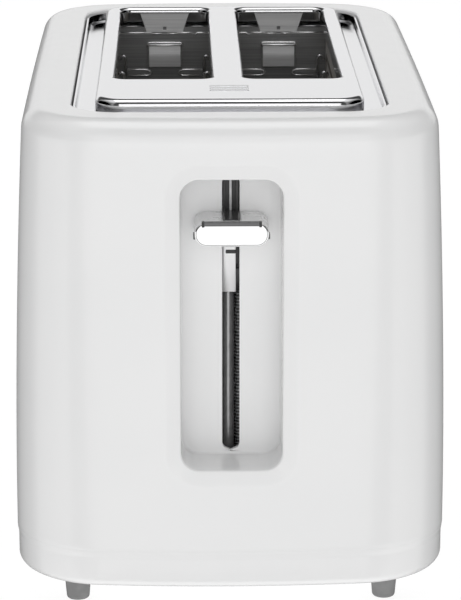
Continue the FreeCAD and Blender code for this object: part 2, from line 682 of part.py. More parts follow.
def control_panel():
    """Grey plate at the bottom of the control pocket, with posts for the board behind it."""
    x0 = PANEL_X
    x1 = PANEL_X + PANEL_THICKNESS
    margin = 0.3
    panel = side_prism(PANEL_AT - PANEL_HALF_LENGTH + margin, PANEL_AT + PANEL_HALF_LENGTH - margin,
                       PANEL_BOTTOM + margin, PANEL_TOP - margin, PANEL_RADIUS - margin, x0, x1)
    posts = []
    for d in (PANEL_AT - 22, PANEL_AT + 22):
        for z in (PANEL_BOTTOM + 7, PANEL_TOP - 7):
            posts.append(across(x1 - 0.5, BOARD_X, d, z, 2.5))
    panel = fuse([panel] + posts)
    panel = panel.cut(across(x0 - 1, x1 + 1, PANEL_AT, DIAL_Z, DIAL_SHAFT_RADIUS + 0.4))
    for z in BUTTON_Z.values():
        half_length = BUTTON_HALF_LENGTH + BUTTON_GAP
        half_height = BUTTON_HALF_HEIGHT + BUTTON_GAP
        panel = panel.cut(side_prism(BUTTON_AT - half_length, BUTTON_AT + half_length, z - half_height,
                                     z + half_height, BUTTON_RADIUS + BUTTON_GAP, x0 - 1, x1 + 1))
        panel = panel.cut(across(x0 - 1, x1 + 1, LENS_AT, z, 1.7))
    return panel


def button(z):
    """Push button with a stem that works a switch on the board."""
    cap = side_prism(BUTTON_AT - BUTTON_HALF_LENGTH, BUTTON_AT + BUTTON_HALF_LENGTH,
                     z - BUTTON_HALF_HEIGHT, z + BUTTON_HALF_HEIGHT, BUTTON_RADIUS, -79.5, -71.5)
    stem = across(-72, -66.9, BUTTON_AT, z, 2.0)
    return fuse([cap, stem])


def browning_dial():
    """Round knob with a raised grip across it, bored for its shaft."""
    disc = across(-78.2, -76, PANEL_AT, DIAL_Z, DIAL_RADIUS)
    grip = side_prism(PANEL_AT - DIAL_RADIUS + 1.5, PANEL_AT + DIAL_RADIUS - 1.5, DIAL_Z - 3, DIAL_Z + 3, 2.9,
                      -82.0, -78.2)
    hub = across(-76.0, -74.2, PANEL_AT, DIAL_Z, 3.3 - 0.1)
    return fuse([disc, grip, hub]).cut(across(-80, -70, PANEL_AT, DIAL_Z, DIAL_SHAFT_RADIUS + 0.01))


def dial_shaft():
    """Shaft from the dial into the potentiometer."""
    return across(-79.9, -61.8, PANEL_AT, DIAL_Z, DIAL_SHAFT_RADIUS)


def potentiometer():
    """Potentiometer body on the board."""
    body = box(-66.6, BOARD_X, PANEL_AT - 8, PANEL_AT + 8, DIAL_Z - 8, DIAL_Z + 8)
    return body.cut(across(-70, -61.6, PANEL_AT, DIAL_Z, DIAL_SHAFT_RADIUS + RUNNING_GAP))


def indicator_lenses():
    """Three small light pipes beside the buttons."""
    lenses = []
    for z in BUTTON_Z.values():
        lenses.append(across(-76.1, -73.3, LENS_AT, z, 1.6))
    return Part.makeCompound(lenses)


def push_switches():
    """Three switches behind the buttons."""
    switches = []
    for z in BUTTON_Z.values():
        body = box(-63.6, BOARD_X, BUTTON_AT - 3, BUTTON_AT + 3, z - 3, z + 3)
        switches.append(fuse([body, across(-64.4, -63.4, BUTTON_AT, z, 1.6)]))
    return Part.makeCompound(switches)


def control_board():
    """Circuit board on the panel's posts."""
    return box(BOARD_X, BOARD_X + 1.6, PANEL_AT - 26, PANEL_AT + 26, PANEL_BOTTOM + 2, PANEL_TOP - 2)


def board_components():
    """Relay, capacitors and chips on the inner face of the board."""
    face = BOARD_X + 1.6
    parts = [
        box(face, face + 6.5, PANEL_AT - 18, PANEL_AT - 3, 56, 74),
        box(face, face + 1.6, PANEL_AT + 2, PANEL_AT + 14, 96, 108),
        box(face, face + 5.0, PANEL_AT - 20, PANEL_AT - 9, 118, 134),
        across(face, face + 6.5, PANEL_AT + 12, 64, 4.0),
        across(face, face + 6.0, PANEL_AT + 12, 78, 3.2),
        across(face, face + 6.0, PANEL_AT + 14, 130, 3.2),
    ]
    return Part.makeCompound(parts)


def terminal_block():
    """Mains terminal block beside the cord's way in."""
    block = box(53, 69, 228, 250, INSIDE_FLOOR_Z, 25)
    for d in (232.5, 239, 245.5):
        block = block.cut(upright(61, d, 20, 26, 2.2))
    return block


def cord_gland():
    """Flanged ring in the back of the skirt."""
    ring = lengthways(GLAND_X, 262, 272.6, GLAND_Z, 4.9)
    return ring.cut(lengthways(GLAND_X, 255, 280, GLAND_Z, CORD_RADIUS))


def crumb_tray():
    """Shallow steel tray under the chamber."""
    outer = box(-TRAY_HALF_WIDTH, TRAY_HALF_WIDTH, TRAY_FRONT, TRAY_REAR, TRAY_BOTTOM, TRAY_TOP)
    inner = box(-TRAY_HALF_WIDTH + SHEET, TRAY_HALF_WIDTH - SHEET, TRAY_FRONT + SHEET, TRAY_REAR - SHEET,
                TRAY_BOTTOM + SHEET, TRAY_TOP + 1)
    return outer.cut(inner)


def crumb_tray_front():
    """Plastic front of the tray, flush with the skirt, with a finger hollow."""
    block = box(-TRAY_HALF_WIDTH - 4, TRAY_HALF_WIDTH + 4, TRAY_REAR, 280, 11.7, SEAM_Z - 0.4)
    skin = straight_body(SKIRT_INSET + 0.1, 8, 30)
    front = block.common(skin)
    return front.cut(end_prism(-16, 16, 8, 18, 3, TRAY_REAR + 2.5, 285))


def frame_screws():
    """Screws that hold the rod bracket to the chamber's front plate."""
    screws = []
    for x in (-5.5, 8.5):
        head = lengthways(x, FRONT_PLATE_AT - 3.4, FRONT_PLATE_AT - 1.5, 163, 2.6)
        screws.append(head)
    return Part.makeCompound(screws)


def build():
    """Every node by name."""
    nodes = {
        "outer_shell": outer_shell(),
        "base_cover": base_cover(),
        "base_screws": base_screws(),
        "top_deck": top_deck(),
        "front_end_plate": front_end_plate(),
        "rear_end_plate": rear_end_plate(),
        "side_reflector_right": side_reflector(),
        "side_reflector_left": mirror(side_reflector()),
        "centre_shield": centre_shield(),
        "lever_knob": lever_knob(),
        "knob_cap": knob_cap(),
        "lever_arm": lever_arm(),
        "slot_shutter": slot_shutter(),
        "lever_bracket": lever_bracket(),
        "carriage_block": carriage_block(),
        "carriage_plate": carriage_plate(),
        "armature_plate": armature_plate(),
        "bread_rack_left": bread_rack(-1),
        "bread_rack_right": bread_rack(1),
        "rod_bracket": rod_bracket(),
        "guide_rod": guide_rod(),
        "spring_pin": spring_pin(),
        "lift_spring": lift_spring(),
        "magnet_bracket": magnet_bracket(),
        "magnet_core": magnet_core(),
        "magnet_coil": magnet_coil(),
        "contact_block": contact_block(),
        "power_contacts": power_contacts(),
        "control_panel": control_panel(),
        "browning_dial": browning_dial(),
        "dial_shaft": dial_shaft(),
        "potentiometer": potentiometer(),
        "indicator_lenses": indicator_lenses(),
        "push_switches": push_switches(),
        "control_board": control_board(),
        "board_components": board_components(),
        "terminal_block": terminal_block(),
        "cord_gland": cord_gland(),
        "crumb_tray": crumb_tray(),
        "crumb_tray_front": crumb_tray_front(),
        "frame_screws": frame_screws(),
    }
    for name, z in BUTTON_Z.items():
        nodes[name + "_button"] = button(z)
    for end, d in zip(("front", "rear"), FOOT_AT):
        nodes["foot_" + end + "_left"] = foot(-1, d)
        nodes["foot_" + end + "_right"] = foot(1, d)
    for row, card_face, ribbon_face, outward, guide_x in (
            ("inner", CARD_INNER, CARD_INNER + CARD_THICKNESS, 1, GUIDE_INNER),
            ("outer", CARD_OUTER, CARD_OUTER, -1, GUIDE_OUTER)):
        card = heater_card(card_face)
        ribbon = heater_ribbon(ribbon_face, outward)
        guide = bread_guide(guide_x, -outward)
        nodes["heater_card_right_" + row] = card
        nodes["heater_card_left_" + row] = mirror(card)
        nodes["heater_ribbon_right_" + row] = ribbon
        nodes["heater_ribbon_left_" + row] = mirror(ribbon)
        nodes["bread_guide_right_" + row] = guide
        nodes["bread_guide_left_" + row] = mirror(guide)
    return nodes


os.makedirs("parts", exist_ok=True)
for name, shape in build().items():
    shape.exportStep("parts/" + name + ".step")
    state = "valid" if shape.isValid() else "INVALID"
    print(name, len(shape.Solids), "solids", round(shape.Volume), "mm3", state)
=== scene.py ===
"""Looks of a two-slot pop-up toaster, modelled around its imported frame.

Sizes are in millimetres in the code and in metres in the meshes. +Z is up, the lever end faces
-Y, and the origin is on the table under the middle of the body. A distance "behind the lever
end" is measured along +Y from the frontmost point of the body.
"""
import logging
import math
from contextlib import contextmanager
from dataclasses import dataclass, field
from enum import Enum
from typing import Callable, Iterator, Sequence

import bmesh
import bpy
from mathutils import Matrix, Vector


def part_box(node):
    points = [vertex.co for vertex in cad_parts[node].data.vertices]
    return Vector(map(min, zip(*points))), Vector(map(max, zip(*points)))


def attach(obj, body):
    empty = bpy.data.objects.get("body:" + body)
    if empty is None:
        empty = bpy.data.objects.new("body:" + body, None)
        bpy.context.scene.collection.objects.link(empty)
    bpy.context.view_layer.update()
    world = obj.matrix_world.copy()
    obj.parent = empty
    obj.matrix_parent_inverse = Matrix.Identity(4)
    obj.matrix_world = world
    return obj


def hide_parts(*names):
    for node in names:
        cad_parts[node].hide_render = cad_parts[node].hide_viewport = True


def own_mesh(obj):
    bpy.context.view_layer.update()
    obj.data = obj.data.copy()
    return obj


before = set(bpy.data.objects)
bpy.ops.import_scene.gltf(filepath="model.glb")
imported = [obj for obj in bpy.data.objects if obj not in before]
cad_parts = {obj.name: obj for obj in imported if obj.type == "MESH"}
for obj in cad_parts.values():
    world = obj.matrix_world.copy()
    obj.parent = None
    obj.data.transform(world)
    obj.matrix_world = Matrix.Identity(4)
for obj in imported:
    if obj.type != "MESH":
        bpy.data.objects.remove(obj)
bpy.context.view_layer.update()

logging.basicConfig(level=logging.INFO, format="%(message)s")
log = logging.getLogger("toaster")

MM = 0.001
WELD = 1e-3  # points nearer than this are one, in millimetres
SMOOTH_ANGLE = 32.0  # edges sharper than this stay sharp, in degrees
Points = Sequence[Vector]
Profile = Sequence[tuple[float, float]]
Colour = tuple[float, float, float]


# ---------------------------------------------------------------- the frame in millimetres

def node_box(name: str) -> tuple[Vector, Vector]:
    """Find where a CAD node lies.

    Args:
        name: The node's name.

    Returns:
        Its lowest and highest corners in millimetres.
    """
    low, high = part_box(name)
    return low / MM, high / MM


SHELL_LOW, SHELL_HIGH = node_box("outer_shell")


def behind(distance: float) -> float:
    """Y of a point at a distance behind the lever end."""
    return SHELL_LOW.y + distance


class Facing(Enum):
    """The plane that an outline lies in, and the direction its profile runs."""

    PLAN = "seen from above, the profile runs up"
    END = "seen from the lever end, the profile runs back"
    SIDE = "seen from the side, the profile runs along +X"

    def point(self, a: float, b: float, run: float) -> Vector:
        """Turn outline coordinates and a profile height into a point."""
        if self is Facing.PLAN:
            return Vector((a, b, run))
        if self is Facing.END:
            return Vector((a, run, b))
        return Vector((run, a, b))


# ---------------------------------------------------------------- outlines and profiles

@dataclass(frozen=True)
class Outline:
    """A rounded rectangle, walked once round."""

    a0: float
    a1: float
    b0: float
    b1: float
    radius: float
    steps: int = 8
    spans: int = 1

    def walk(self, grow: float = 0.0) -> list[tuple[float, float]]:
        """List its points.

        Args:
            grow: How far the outline is moved outwards, or inwards if it is negative.

        Returns:
            Pairs in order, the same number for every grow.
        """
        least = 0.02
        radius = max(self.radius + grow, least)
        pull = self.radius + max(0.0, least - (self.radius + grow))
        corners = [
            (self.a1 - pull, self.b0 + pull, -90.0), (self.a1 - pull, self.b1 - pull, 0.0),
            (self.a0 + pull, self.b1 - pull, 90.0), (self.a0 + pull, self.b0 + pull, 180.0),
        ]
        arcs = []
        for a, b, start in corners:
            arc = []
            for step in range(self.steps + 1):
                angle = math.radians(start + 90.0 * step / self.steps)
                arc.append((a + radius * math.cos(angle), b + radius * math.sin(angle)))
            arcs.append(arc)
        points = []
        for index, arc in enumerate(arcs):
            points += arc
            here = arc[-1]
            there = arcs[(index + 1) % 4][0]
            for span in range(1, self.spans):
                share = span / self.spans
                points.append((here[0] + (there[0] - here[0]) * share,
                               here[1] + (there[1] - here[1]) * share))
        return points

    def ring(self, facing: Facing, grow: float, run: float) -> list[Vector]:
        """The outline as points in space."""
        return [facing.point(a, b, run) for a, b in self.walk(grow)]


def round_outline(a: float, b: float, radius: float, steps: int = 8) -> Outline:
    """A circle as an outline about a centre."""
    return Outline(a - radius, a + radius, b - radius, b + radius, radius, steps)


def quarter(start: tuple[float, float], end: tuple[float, float], hollow: bool = False,
            steps: int = 5) -> list[tuple[float, float]]:
    """List a quarter ellipse of a profile.

    Args:
        start: The pair (grow, run) where it starts.
        end: The pair where it ends.
        hollow: Whether it leaves its start along grow and not along run.
        steps: How many steps it has.

    Returns:
        The pairs after the start.
    """
    pairs = []
    for step in range(1, steps + 1):
        angle = math.radians(90.0 * step / steps)
        fast, slow = math.sin(angle), 1 - math.cos(angle)
        grow_share, run_share = (fast, slow) if hollow else (slow, fast)
        pairs.append((start[0] + (end[0] - start[0]) * grow_share,
                      start[1] + (end[1] - start[1]) * run_share))
    return pairs


def block_profile(run0: float, run1: float, edge0: float, edge1: float,
                  steps: int = 4) -> list[tuple[float, float]]:
    """Profile of a block whose two faces have rounded edges.

    Args:
        run0: Where the first face is.
        run1: Where the last face is.
        edge0: Radius of the first face's edge.
        edge1: Radius of the last face's edge.
        steps: How many steps each edge has.

    Returns:
        Pairs (grow, run), with a narrow flat border on both faces.
    """
    way = 1.0 if run1 > run0 else -1.0
    border = 0.25
    pairs = [(-edge0 - border, run0), (-edge0, run0)]
    pairs += quarter((-edge0, run0), (0.0, run0 + way * edge0), True, steps)
    pairs.append((0.0, run1 - way * edge1))
    pairs += quarter((0.0, run1 - way * edge1), (-edge1, run1), False, steps)
    pairs.append((-edge1 - border, run1))
    return pairs


# ---------------------------------------------------------------- modelling bench

def clear_selection() -> None:
    """Leave edit mode and deselect every object."""
    if bpy.context.object is not None and bpy.context.object.mode != "OBJECT":
        bpy.ops.object.mode_set(mode="OBJECT")
    bpy.ops.object.select_all(action="DESELECT")


def activate(piece: bpy.types.Object) -> None:
    """Make one piece the only selected and active object."""
    clear_selection()
    piece.select_set(True)
    bpy.context.view_layer.objects.active = piece


@contextmanager
def editing(piece: bpy.types.Object) -> Iterator[None]:
    """Work on one piece in edit mode, with all of it selected at first."""
    activate(piece)
    bpy.ops.object.mode_set(mode="EDIT")
    bpy.ops.mesh.select_mode(type="EDGE")
    bpy.ops.mesh.select_all(action="SELECT")
    yield
    bpy.ops.object.mode_set(mode="OBJECT")


def name_piece(piece: bpy.types.Object, name: str) -> bpy.types.Object:
    """Give an object and its mesh one name."""
    piece.name = name
    piece.data.name = name
    return piece


def apply_modifier(piece: bpy.types.Object, kind: str, **settings: object) -> None:
    """Add a modifier, set it and apply it.

    Args:
        piece: The object to change.
        kind: The modifier's type.
        settings: Values of its properties.
    """
    activate(piece)
    modifier = piece.modifiers.new(kind.title(), kind)
    for key, value in settings.items():
        setattr(modifier, key, value)
    bpy.ops.object.modifier_apply(modifier=modifier.name)


def thicken(piece: bpy.types.Object, thickness: float) -> None:
    """Give a sheet its wall on the inner side, in millimetres."""
    apply_modifier(piece, "SOLIDIFY", thickness=thickness * MM, offset=-1.0, use_rim=True)


def shade(piece: bpy.types.Object, degrees: float = SMOOTH_ANGLE) -> bpy.types.Object:
    """Shade a piece smooth, with edges sharper than an angle left sharp."""
    activate(piece)
    bpy.ops.object.shade_smooth_by_angle(angle=math.radians(degrees))
    return piece


def join(pieces: Sequence[bpy.types.Object], name: str) -> bpy.types.Object:
    """Join meshes into one piece.

    Args:
        pieces: The meshes, of which the first one stays.
        name: The piece's name.

    Returns:
        The joined piece.
    """
    activate(pieces[0])
    for piece in pieces[1:]:
        piece.select_set(True)
    bpy.ops.object.join()
    return name_piece(bpy.context.object, name)


def repeat(piece: bpy.types.Object, count: int, step: Vector) -> None:
    """Copy all of a mesh several times along a step, in edit mode.

    Args:
        piece: The mesh, which keeps its first copy.
        count: How many there are in the end.
        step: The way from one copy to the next, in millimetres.
    """
    with editing(piece):
        for _ in range(count - 1):
            bpy.ops.mesh.duplicate_move(TRANSFORM_OT_translate={"value": tuple(step * MM)})


class Skin:
    """A surface grown ring by ring in edit mode.

    Every vertex carries its place in the ring, which an extrusion hands on to the next ring,
    so each new ring is set down point by point.
    """

    ORDER = "ring_order"

    def __init__(self, name: str, ring: Points) -> None:
        """Start a mesh from one closed ring of points."""
        clear_selection()
        bpy.ops.mesh.primitive_circle_add(vertices=len(ring), radius=MM)
        self.piece = name_piece(bpy.context.object, name)
        self.piece.data.attributes.new(self.ORDER, "INT", "POINT")
        bpy.ops.object.mode_set(mode="EDIT")
        bpy.ops.mesh.select_mode(type="EDGE")
        bpy.ops.mesh.select_all(action="SELECT")
        self._number()
        self._place(ring)

    def _mesh(self) -> tuple[bmesh.types.BMesh, bmesh.types.BMLayerItem]:
        """The mesh in edit mode and its layer of ring places."""
        mesh = bmesh.from_edit_mesh(self.piece.data)
        return mesh, mesh.verts.layers.int[self.ORDER]

    def _number(self) -> None:
        """Number the selected vertices in their order in the mesh."""
        mesh, order = self._mesh()
        for place, vertex in enumerate([v for v in mesh.verts if v.select]):
            vertex[order] = place

    def _place(self, ring: Points) -> None:
        """Put the selected vertices at their points of a ring."""
        mesh, order = self._mesh()
        for vertex in mesh.verts:
            if vertex.select:
                vertex.co = ring[vertex[order]] * MM
        bmesh.update_edit_mesh(self.piece.data)

    def grow(self, ring: Points) -> "Skin":
        """Extrude the selected ring to new points."""
        bpy.ops.mesh.extrude_edges_move()
        self._place(ring)
        return self

    def sweep(self, outline: Outline, facing: Facing, profile: Profile) -> "Skin":
        """Grow through the rings of one outline."""
        for grow, run in profile:
            self.grow(outline.ring(facing, grow, run))
        return self

    def start(self, ring: Points) -> "Skin":
        """Start another closed ring in the same mesh."""
        bpy.ops.mesh.select_all(action="DESELECT")
        bpy.ops.mesh.primitive_circle_add(vertices=len(ring), radius=MM)
        self._number()
        self._place(ring)
        return self

    def cap(self) -> "Skin":
        """Close the selected ring with one face."""
        bpy.ops.mesh.edge_face_add()
        return self

    def window(self, inside: Callable[[Vector], bool]) -> list[Vector]:
        """Cut a window out of the surface and select its rim as the next ring.

        Args:
            inside: Tells whether a face with this middle, in millimetres, is cut away.

        Returns:
            The rim's points in the order of the ring.
        """
        bpy.ops.mesh.select_mode(type="FACE")
        bpy.ops.mesh.select_all(action="DESELECT")
        mesh, order = self._mesh()
        for vertex in mesh.verts:
            vertex[order] = -1
        cut = {face for face in mesh.faces if inside(face.calc_center_median() / MM)}
        for face in cut:
            face.select_set(True)
            for vertex in face.verts:
                if any(other not in cut for other in vertex.link_faces):
                    vertex[order] = 0
        bmesh.update_edit_mesh(self.piece.data)
        bpy.ops.mesh.delete(type="FACE")
        bpy.ops.mesh.select_mode(type="EDGE")
        bpy.ops.mesh.select_all(action="DESELECT")
        mesh, order = self._mesh()
        rim = [vertex for vertex in mesh.verts if vertex[order] == 0]
        for place, vertex in enumerate(rim):
            vertex[order] = place
        for edge in mesh.edges:
            edge.select_set(edge.is_boundary and all(v[order] >= 0 for v in edge.verts))
        points = [vertex.co / MM for vertex in rim]
        bmesh.update_edit_mesh(self.piece.data)
        return points

    def fill_level(self, value: float, axis: int = 2) -> "Skin":
        """Fill the flat area between all the open rings at one coordinate."""
        bpy.ops.mesh.select_all(action="DESELECT")
        mesh, _ = self._mesh()
        for edge in mesh.edges:
            level = all(abs(v.co[axis] / MM - value) < WELD for v in edge.verts)
            edge.select_set(level and (edge.is_boundary or edge.is_wire))
        bmesh.update_edit_mesh(self.piece.data)
        bpy.ops.mesh.fill(use_beauty=True)
        return self

    def done(self, wall: float = 0.0, degrees: float = SMOOTH_ANGLE) -> bpy.types.Object:
        """Leave edit mode with the faces outwards and the surface shaded.

        Args:
            wall: Thickness that an open skin gets on its inner side.
            degrees: Edges sharper than this stay sharp.

        Returns:
            The finished mesh.
        """
        bpy.ops.mesh.select_all(action="SELECT")
        bpy.ops.mesh.remove_doubles(threshold=WELD * MM)
        bpy.ops.mesh.normals_make_consistent(inside=False)
        mesh, _ = self._mesh()
        if wall and sum(face.normal.z * face.calc_area() for face in mesh.faces) < 0:
            bpy.ops.mesh.flip_normals()
        bpy.ops.object.mode_set(mode="OBJECT")
        self.piece.data.attributes.remove(self.piece.data.attributes[self.ORDER])
        if wall:
            thicken(self.piece, wall)
        return shade(self.piece, degrees)


def block(name: str, outline: Outline, facing: Facing, profile: Profile,
          degrees: float = SMOOTH_ANGLE) -> bpy.types.Object:
    """Make a closed block by growing one outline along a profile.

    Args:
        name: The piece's name.
        outline: The outline that every ring follows.
        facing: The plane that it lies in.
        profile: Pairs (grow, run), from one closed face to the other.
        degrees: Edges sharper than this stay sharp.

    Returns:
        The finished mesh.
    """
    skin = Skin(name, outline.ring(facing, *profile[0])).cap()
    skin.sweep(outline, facing, profile[1:]).cap()
    return skin.done(degrees=degrees)


def bar(name: str, path: Points, radius: float, sides: int = 8) -> bpy.types.Object:
    """Make a round bar with rounded ends along a path that lies in one plane.

    Args:
        name: The piece's name.
        path: The points of its centre line, in millimetres.
        radius: The bar's radius.
        sides: How many sides its section has.

    Returns:
        The finished mesh.
    """
    legs = [(path[i + 1] - path[i]).normalized() for i in range(len(path) - 1)]
    normal = Vector((0.0, 0.0, 0.0))
    for leg in legs[1:]:
        normal += legs[0].cross(leg)
    if normal.length < 1e-6:
        normal = Vector((1.0, 0.0, 0.0)) if abs(legs[0].x) < 0.9 else Vector((0.0, 1.0, 0.0))
        normal = normal.cross(legs[0])
    normal.normalize()
    stops = [(path[0] - legs[0] * radius * 0.55, legs[0], 0.45)]
    for index, point in enumerate(path):
        before = legs[max(0, index - 1)]
        after = legs[min(len(legs) - 1, index)]
        stops.append((point, (before + after).normalized(), 1.0))
    stops.append((path[-1] + legs[-1] * radius * 0.55, legs[-1], 0.45))
    rings = []
    for centre, way, share in stops:
        across = way.cross(normal).normalized()
        ring = []
        for side in range(sides):
            angle = 2 * math.pi * side / sides
            offset = across * math.cos(angle) + normal * math.sin(angle)
            ring.append(centre + offset * radius * share)
        rings.append(ring)
    skin = Skin(name, rings[0]).cap()
    for ring in rings[1:]:
        skin.grow(ring)
    return skin.cap().done(degrees=60.0)


def softened(node: str, name: str, edge: float, degrees: float = 30.0,
             segments: int = 2) -> bpy.types.Object:
    """Copy a CAD node with its edges broken and its curved faces shaded smooth.

    Args:
        node: The CAD node to copy.
        name: The copy's name.
        edge: Width of the broken edges in millimetres, or 0 for none.
        degrees: Edges sharper than this are broken.
        segments: How many faces round each broken edge.

    Returns:
        The copy, which stands for the node.
    """
    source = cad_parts[node]
    piece = bpy.data.objects.new(name, source.data.copy())
    piece.data.name = name
    bpy.context.scene.collection.objects.link(piece)
    with editing(piece):
        bpy.ops.mesh.remove_doubles(threshold=2e-3 * MM)
        bpy.ops.mesh.dissolve_limited(angle_limit=math.radians(0.6))
    if edge:
        apply_modifier(piece, "BEVEL", width=edge * MM, segments=segments, limit_method="ANGLE",
                       angle_limit=math.radians(degrees), use_clamp_overlap=True)
    shade(piece, degrees)
    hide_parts(node)
    return piece


# ---------------------------------------------------------------- shader graph

class Wire:
    """An output socket, so that shader maths reads as an expression."""

    def __init__(self, graph: "Graph", socket: bpy.types.NodeSocket) -> None:
        """Remember the graph and the socket."""
        self.graph = graph
        self.socket = socket

    def _math(self, operation: str, *values: "Wire | float") -> "Wire":
        """Add one Math node."""
        return self.graph.node("ShaderNodeMath", {"operation": operation}, dict(enumerate(values)))

    def __add__(self, other: "Wire | float") -> "Wire":
        """The sum."""
        return self._math("ADD", self, other)

    def __mul__(self, other: "Wire | float") -> "Wire":
        """The product."""
        return self._math("MULTIPLY", self, other)

    def __sub__(self, other: "Wire | float") -> "Wire":
        """The difference."""
        return self._math("SUBTRACT", self, other)

    def __rsub__(self, other: float) -> "Wire":
        """The difference from a number."""
        return self._math("SUBTRACT", other, self)

    __radd__ = __add__
    __rmul__ = __mul__

    def sine(self) -> "Wire":
        """The sine."""
        return self._math("SINE", self)

    def above(self, level: float) -> "Wire":
        """One where the value is above a level, and otherwise zero."""
        return self._math("GREATER_THAN", self, level)

    def between(self, low: float, high: float) -> "Wire":
        """The value's smooth share of the way from one level to another."""
        settings = {"interpolation_type": "SMOOTHSTEP"}
        return self.graph.node("ShaderNodeMapRange", settings, {0: self, 1: low, 2: high})


class Graph:
    """The nodes of a material or of the world."""

    def __init__(self, owner: bpy.types.Material | bpy.types.World) -> None:
        """Empty the owner's tree."""
        owner.use_nodes = True
        self.tree = owner.node_tree
        self.tree.nodes.clear()

    def feed(self, socket: bpy.types.NodeSocket, value: "Wire | float | tuple") -> None:
        """Link a wire to a socket, or set the socket's value."""
        if isinstance(value, Wire):
            self.tree.links.new(value.socket, socket)
        else:
            socket.default_value = value

    def node(self, kind: str, settings: dict | None = None, inputs: dict | None = None,
             output: int | str = 0) -> Wire:
        """Add a node.

        Args:
            kind: The node's type.
            settings: Its properties.
            inputs: Values or wires by the socket's name or number.
            output: The output that is wanted.

        Returns:
            That output.
        """
        made = self.tree.nodes.new(kind)
        for key, value in (settings or {}).items():
            setattr(made, key, value)
        for key, value in (inputs or {}).items():
            self.feed(made.inputs[key], value)
        return Wire(self, made.outputs[output])

    def place(self, stretch: tuple[float, float, float] = (1.0, 1.0, 1.0)) -> Wire:
        """The point on the piece in millimetres, scaled along each axis."""
        point = self.node("ShaderNodeTexCoord", output="Object")
        scale = tuple(part / MM for part in stretch)
        return self.node("ShaderNodeVectorMath", {"operation": "MULTIPLY"}, {0: point, 1: scale})

    def axis(self, name: str) -> Wire:
        """One coordinate of the point on the piece, in millimetres."""
        return self.node("ShaderNodeSeparateXYZ", inputs={0: self.place()}, output=name)

    def noise(self, size: float, detail: float = 2.0,
              stretch: tuple[float, float, float] = (1.0, 1.0, 1.0)) -> Wire:
        """Smooth noise whose features have a size in millimetres."""
        return self.node("ShaderNodeTexNoise",
                         inputs={"Vector": self.place(stretch), "Scale": 1.0 / size,
                                 "Detail": detail})

    def cells(self, size: float, stretch: tuple[float, float, float] = (1.0, 1.0, 1.0)) -> Wire:
        """Random shade of each cell of a size in millimetres."""
        return self.node("ShaderNodeTexVoronoi",
                         inputs={"Vector": self.place(stretch), "Scale": 1.0 / size},
                         output="Color")

    def blend(self, share: Wire | float, first: "Colour | Wire", second: "Colour | Wire") -> Wire:
        """Mix two colours."""
        ends = [end if isinstance(end, Wire) else (*end, 1.0) for end in (first, second)]
        inputs = {0: share, 6: ends[0], 7: ends[1]}
        return self.node("ShaderNodeMix", {"data_type": "RGBA"}, inputs, 2)

    def bump(self, height: Wire, depth: float, strength: float = 1.0) -> Wire:
        """Turn a height of 0 to 1 into a surface, with its depth in millimetres."""
        return self.node("ShaderNodeBump",
                         inputs={"Strength": strength, "Distance": depth * MM, "Height": height},
                         output="Normal")


class Surface(Graph):
    """The nodes of one material, which end in one shader."""

    def __init__(self, material: bpy.types.Material) -> None:
        """Empty the material's tree and add its shader."""
        super().__init__(material)
        output = self.tree.nodes.new("ShaderNodeOutputMaterial")
        self.shader = self.tree.nodes.new("ShaderNodeBsdfPrincipled")
        self.tree.links.new(self.shader.outputs[0], output.inputs[0])

    def set(self, **values: "Wire | float | Colour") -> None:
        """Set or link the shader's sockets by name, with _ for a space."""
        for key, value in values.items():
            socket = self.shader.inputs[key.replace("_", " ")]
            self.feed(socket, (*value, 1.0) if isinstance(value, tuple) else value)


# ---------------------------------------------------------------- finishes

class Pattern(Enum):
    """How a surface was made, which sets the detail that it shows."""

    POLISHED = "moulded in a polished tool"
    GRAINED = "moulded in a grained tool"
    BRUSHED_LENGTHWAYS = "brushed along the body"
    BRUSHED_ACROSS = "brushed across the body"
    ROLLED = "rolled sheet with a zinc spangle"
    DRAWN = "drawn wire or ground rod"
    FLAKED = "split mica"
    WOUND = "enamelled wire laid in turns"
    PRINTED = "circuit board with tracks"
    CAST = "rubber or sintered part"


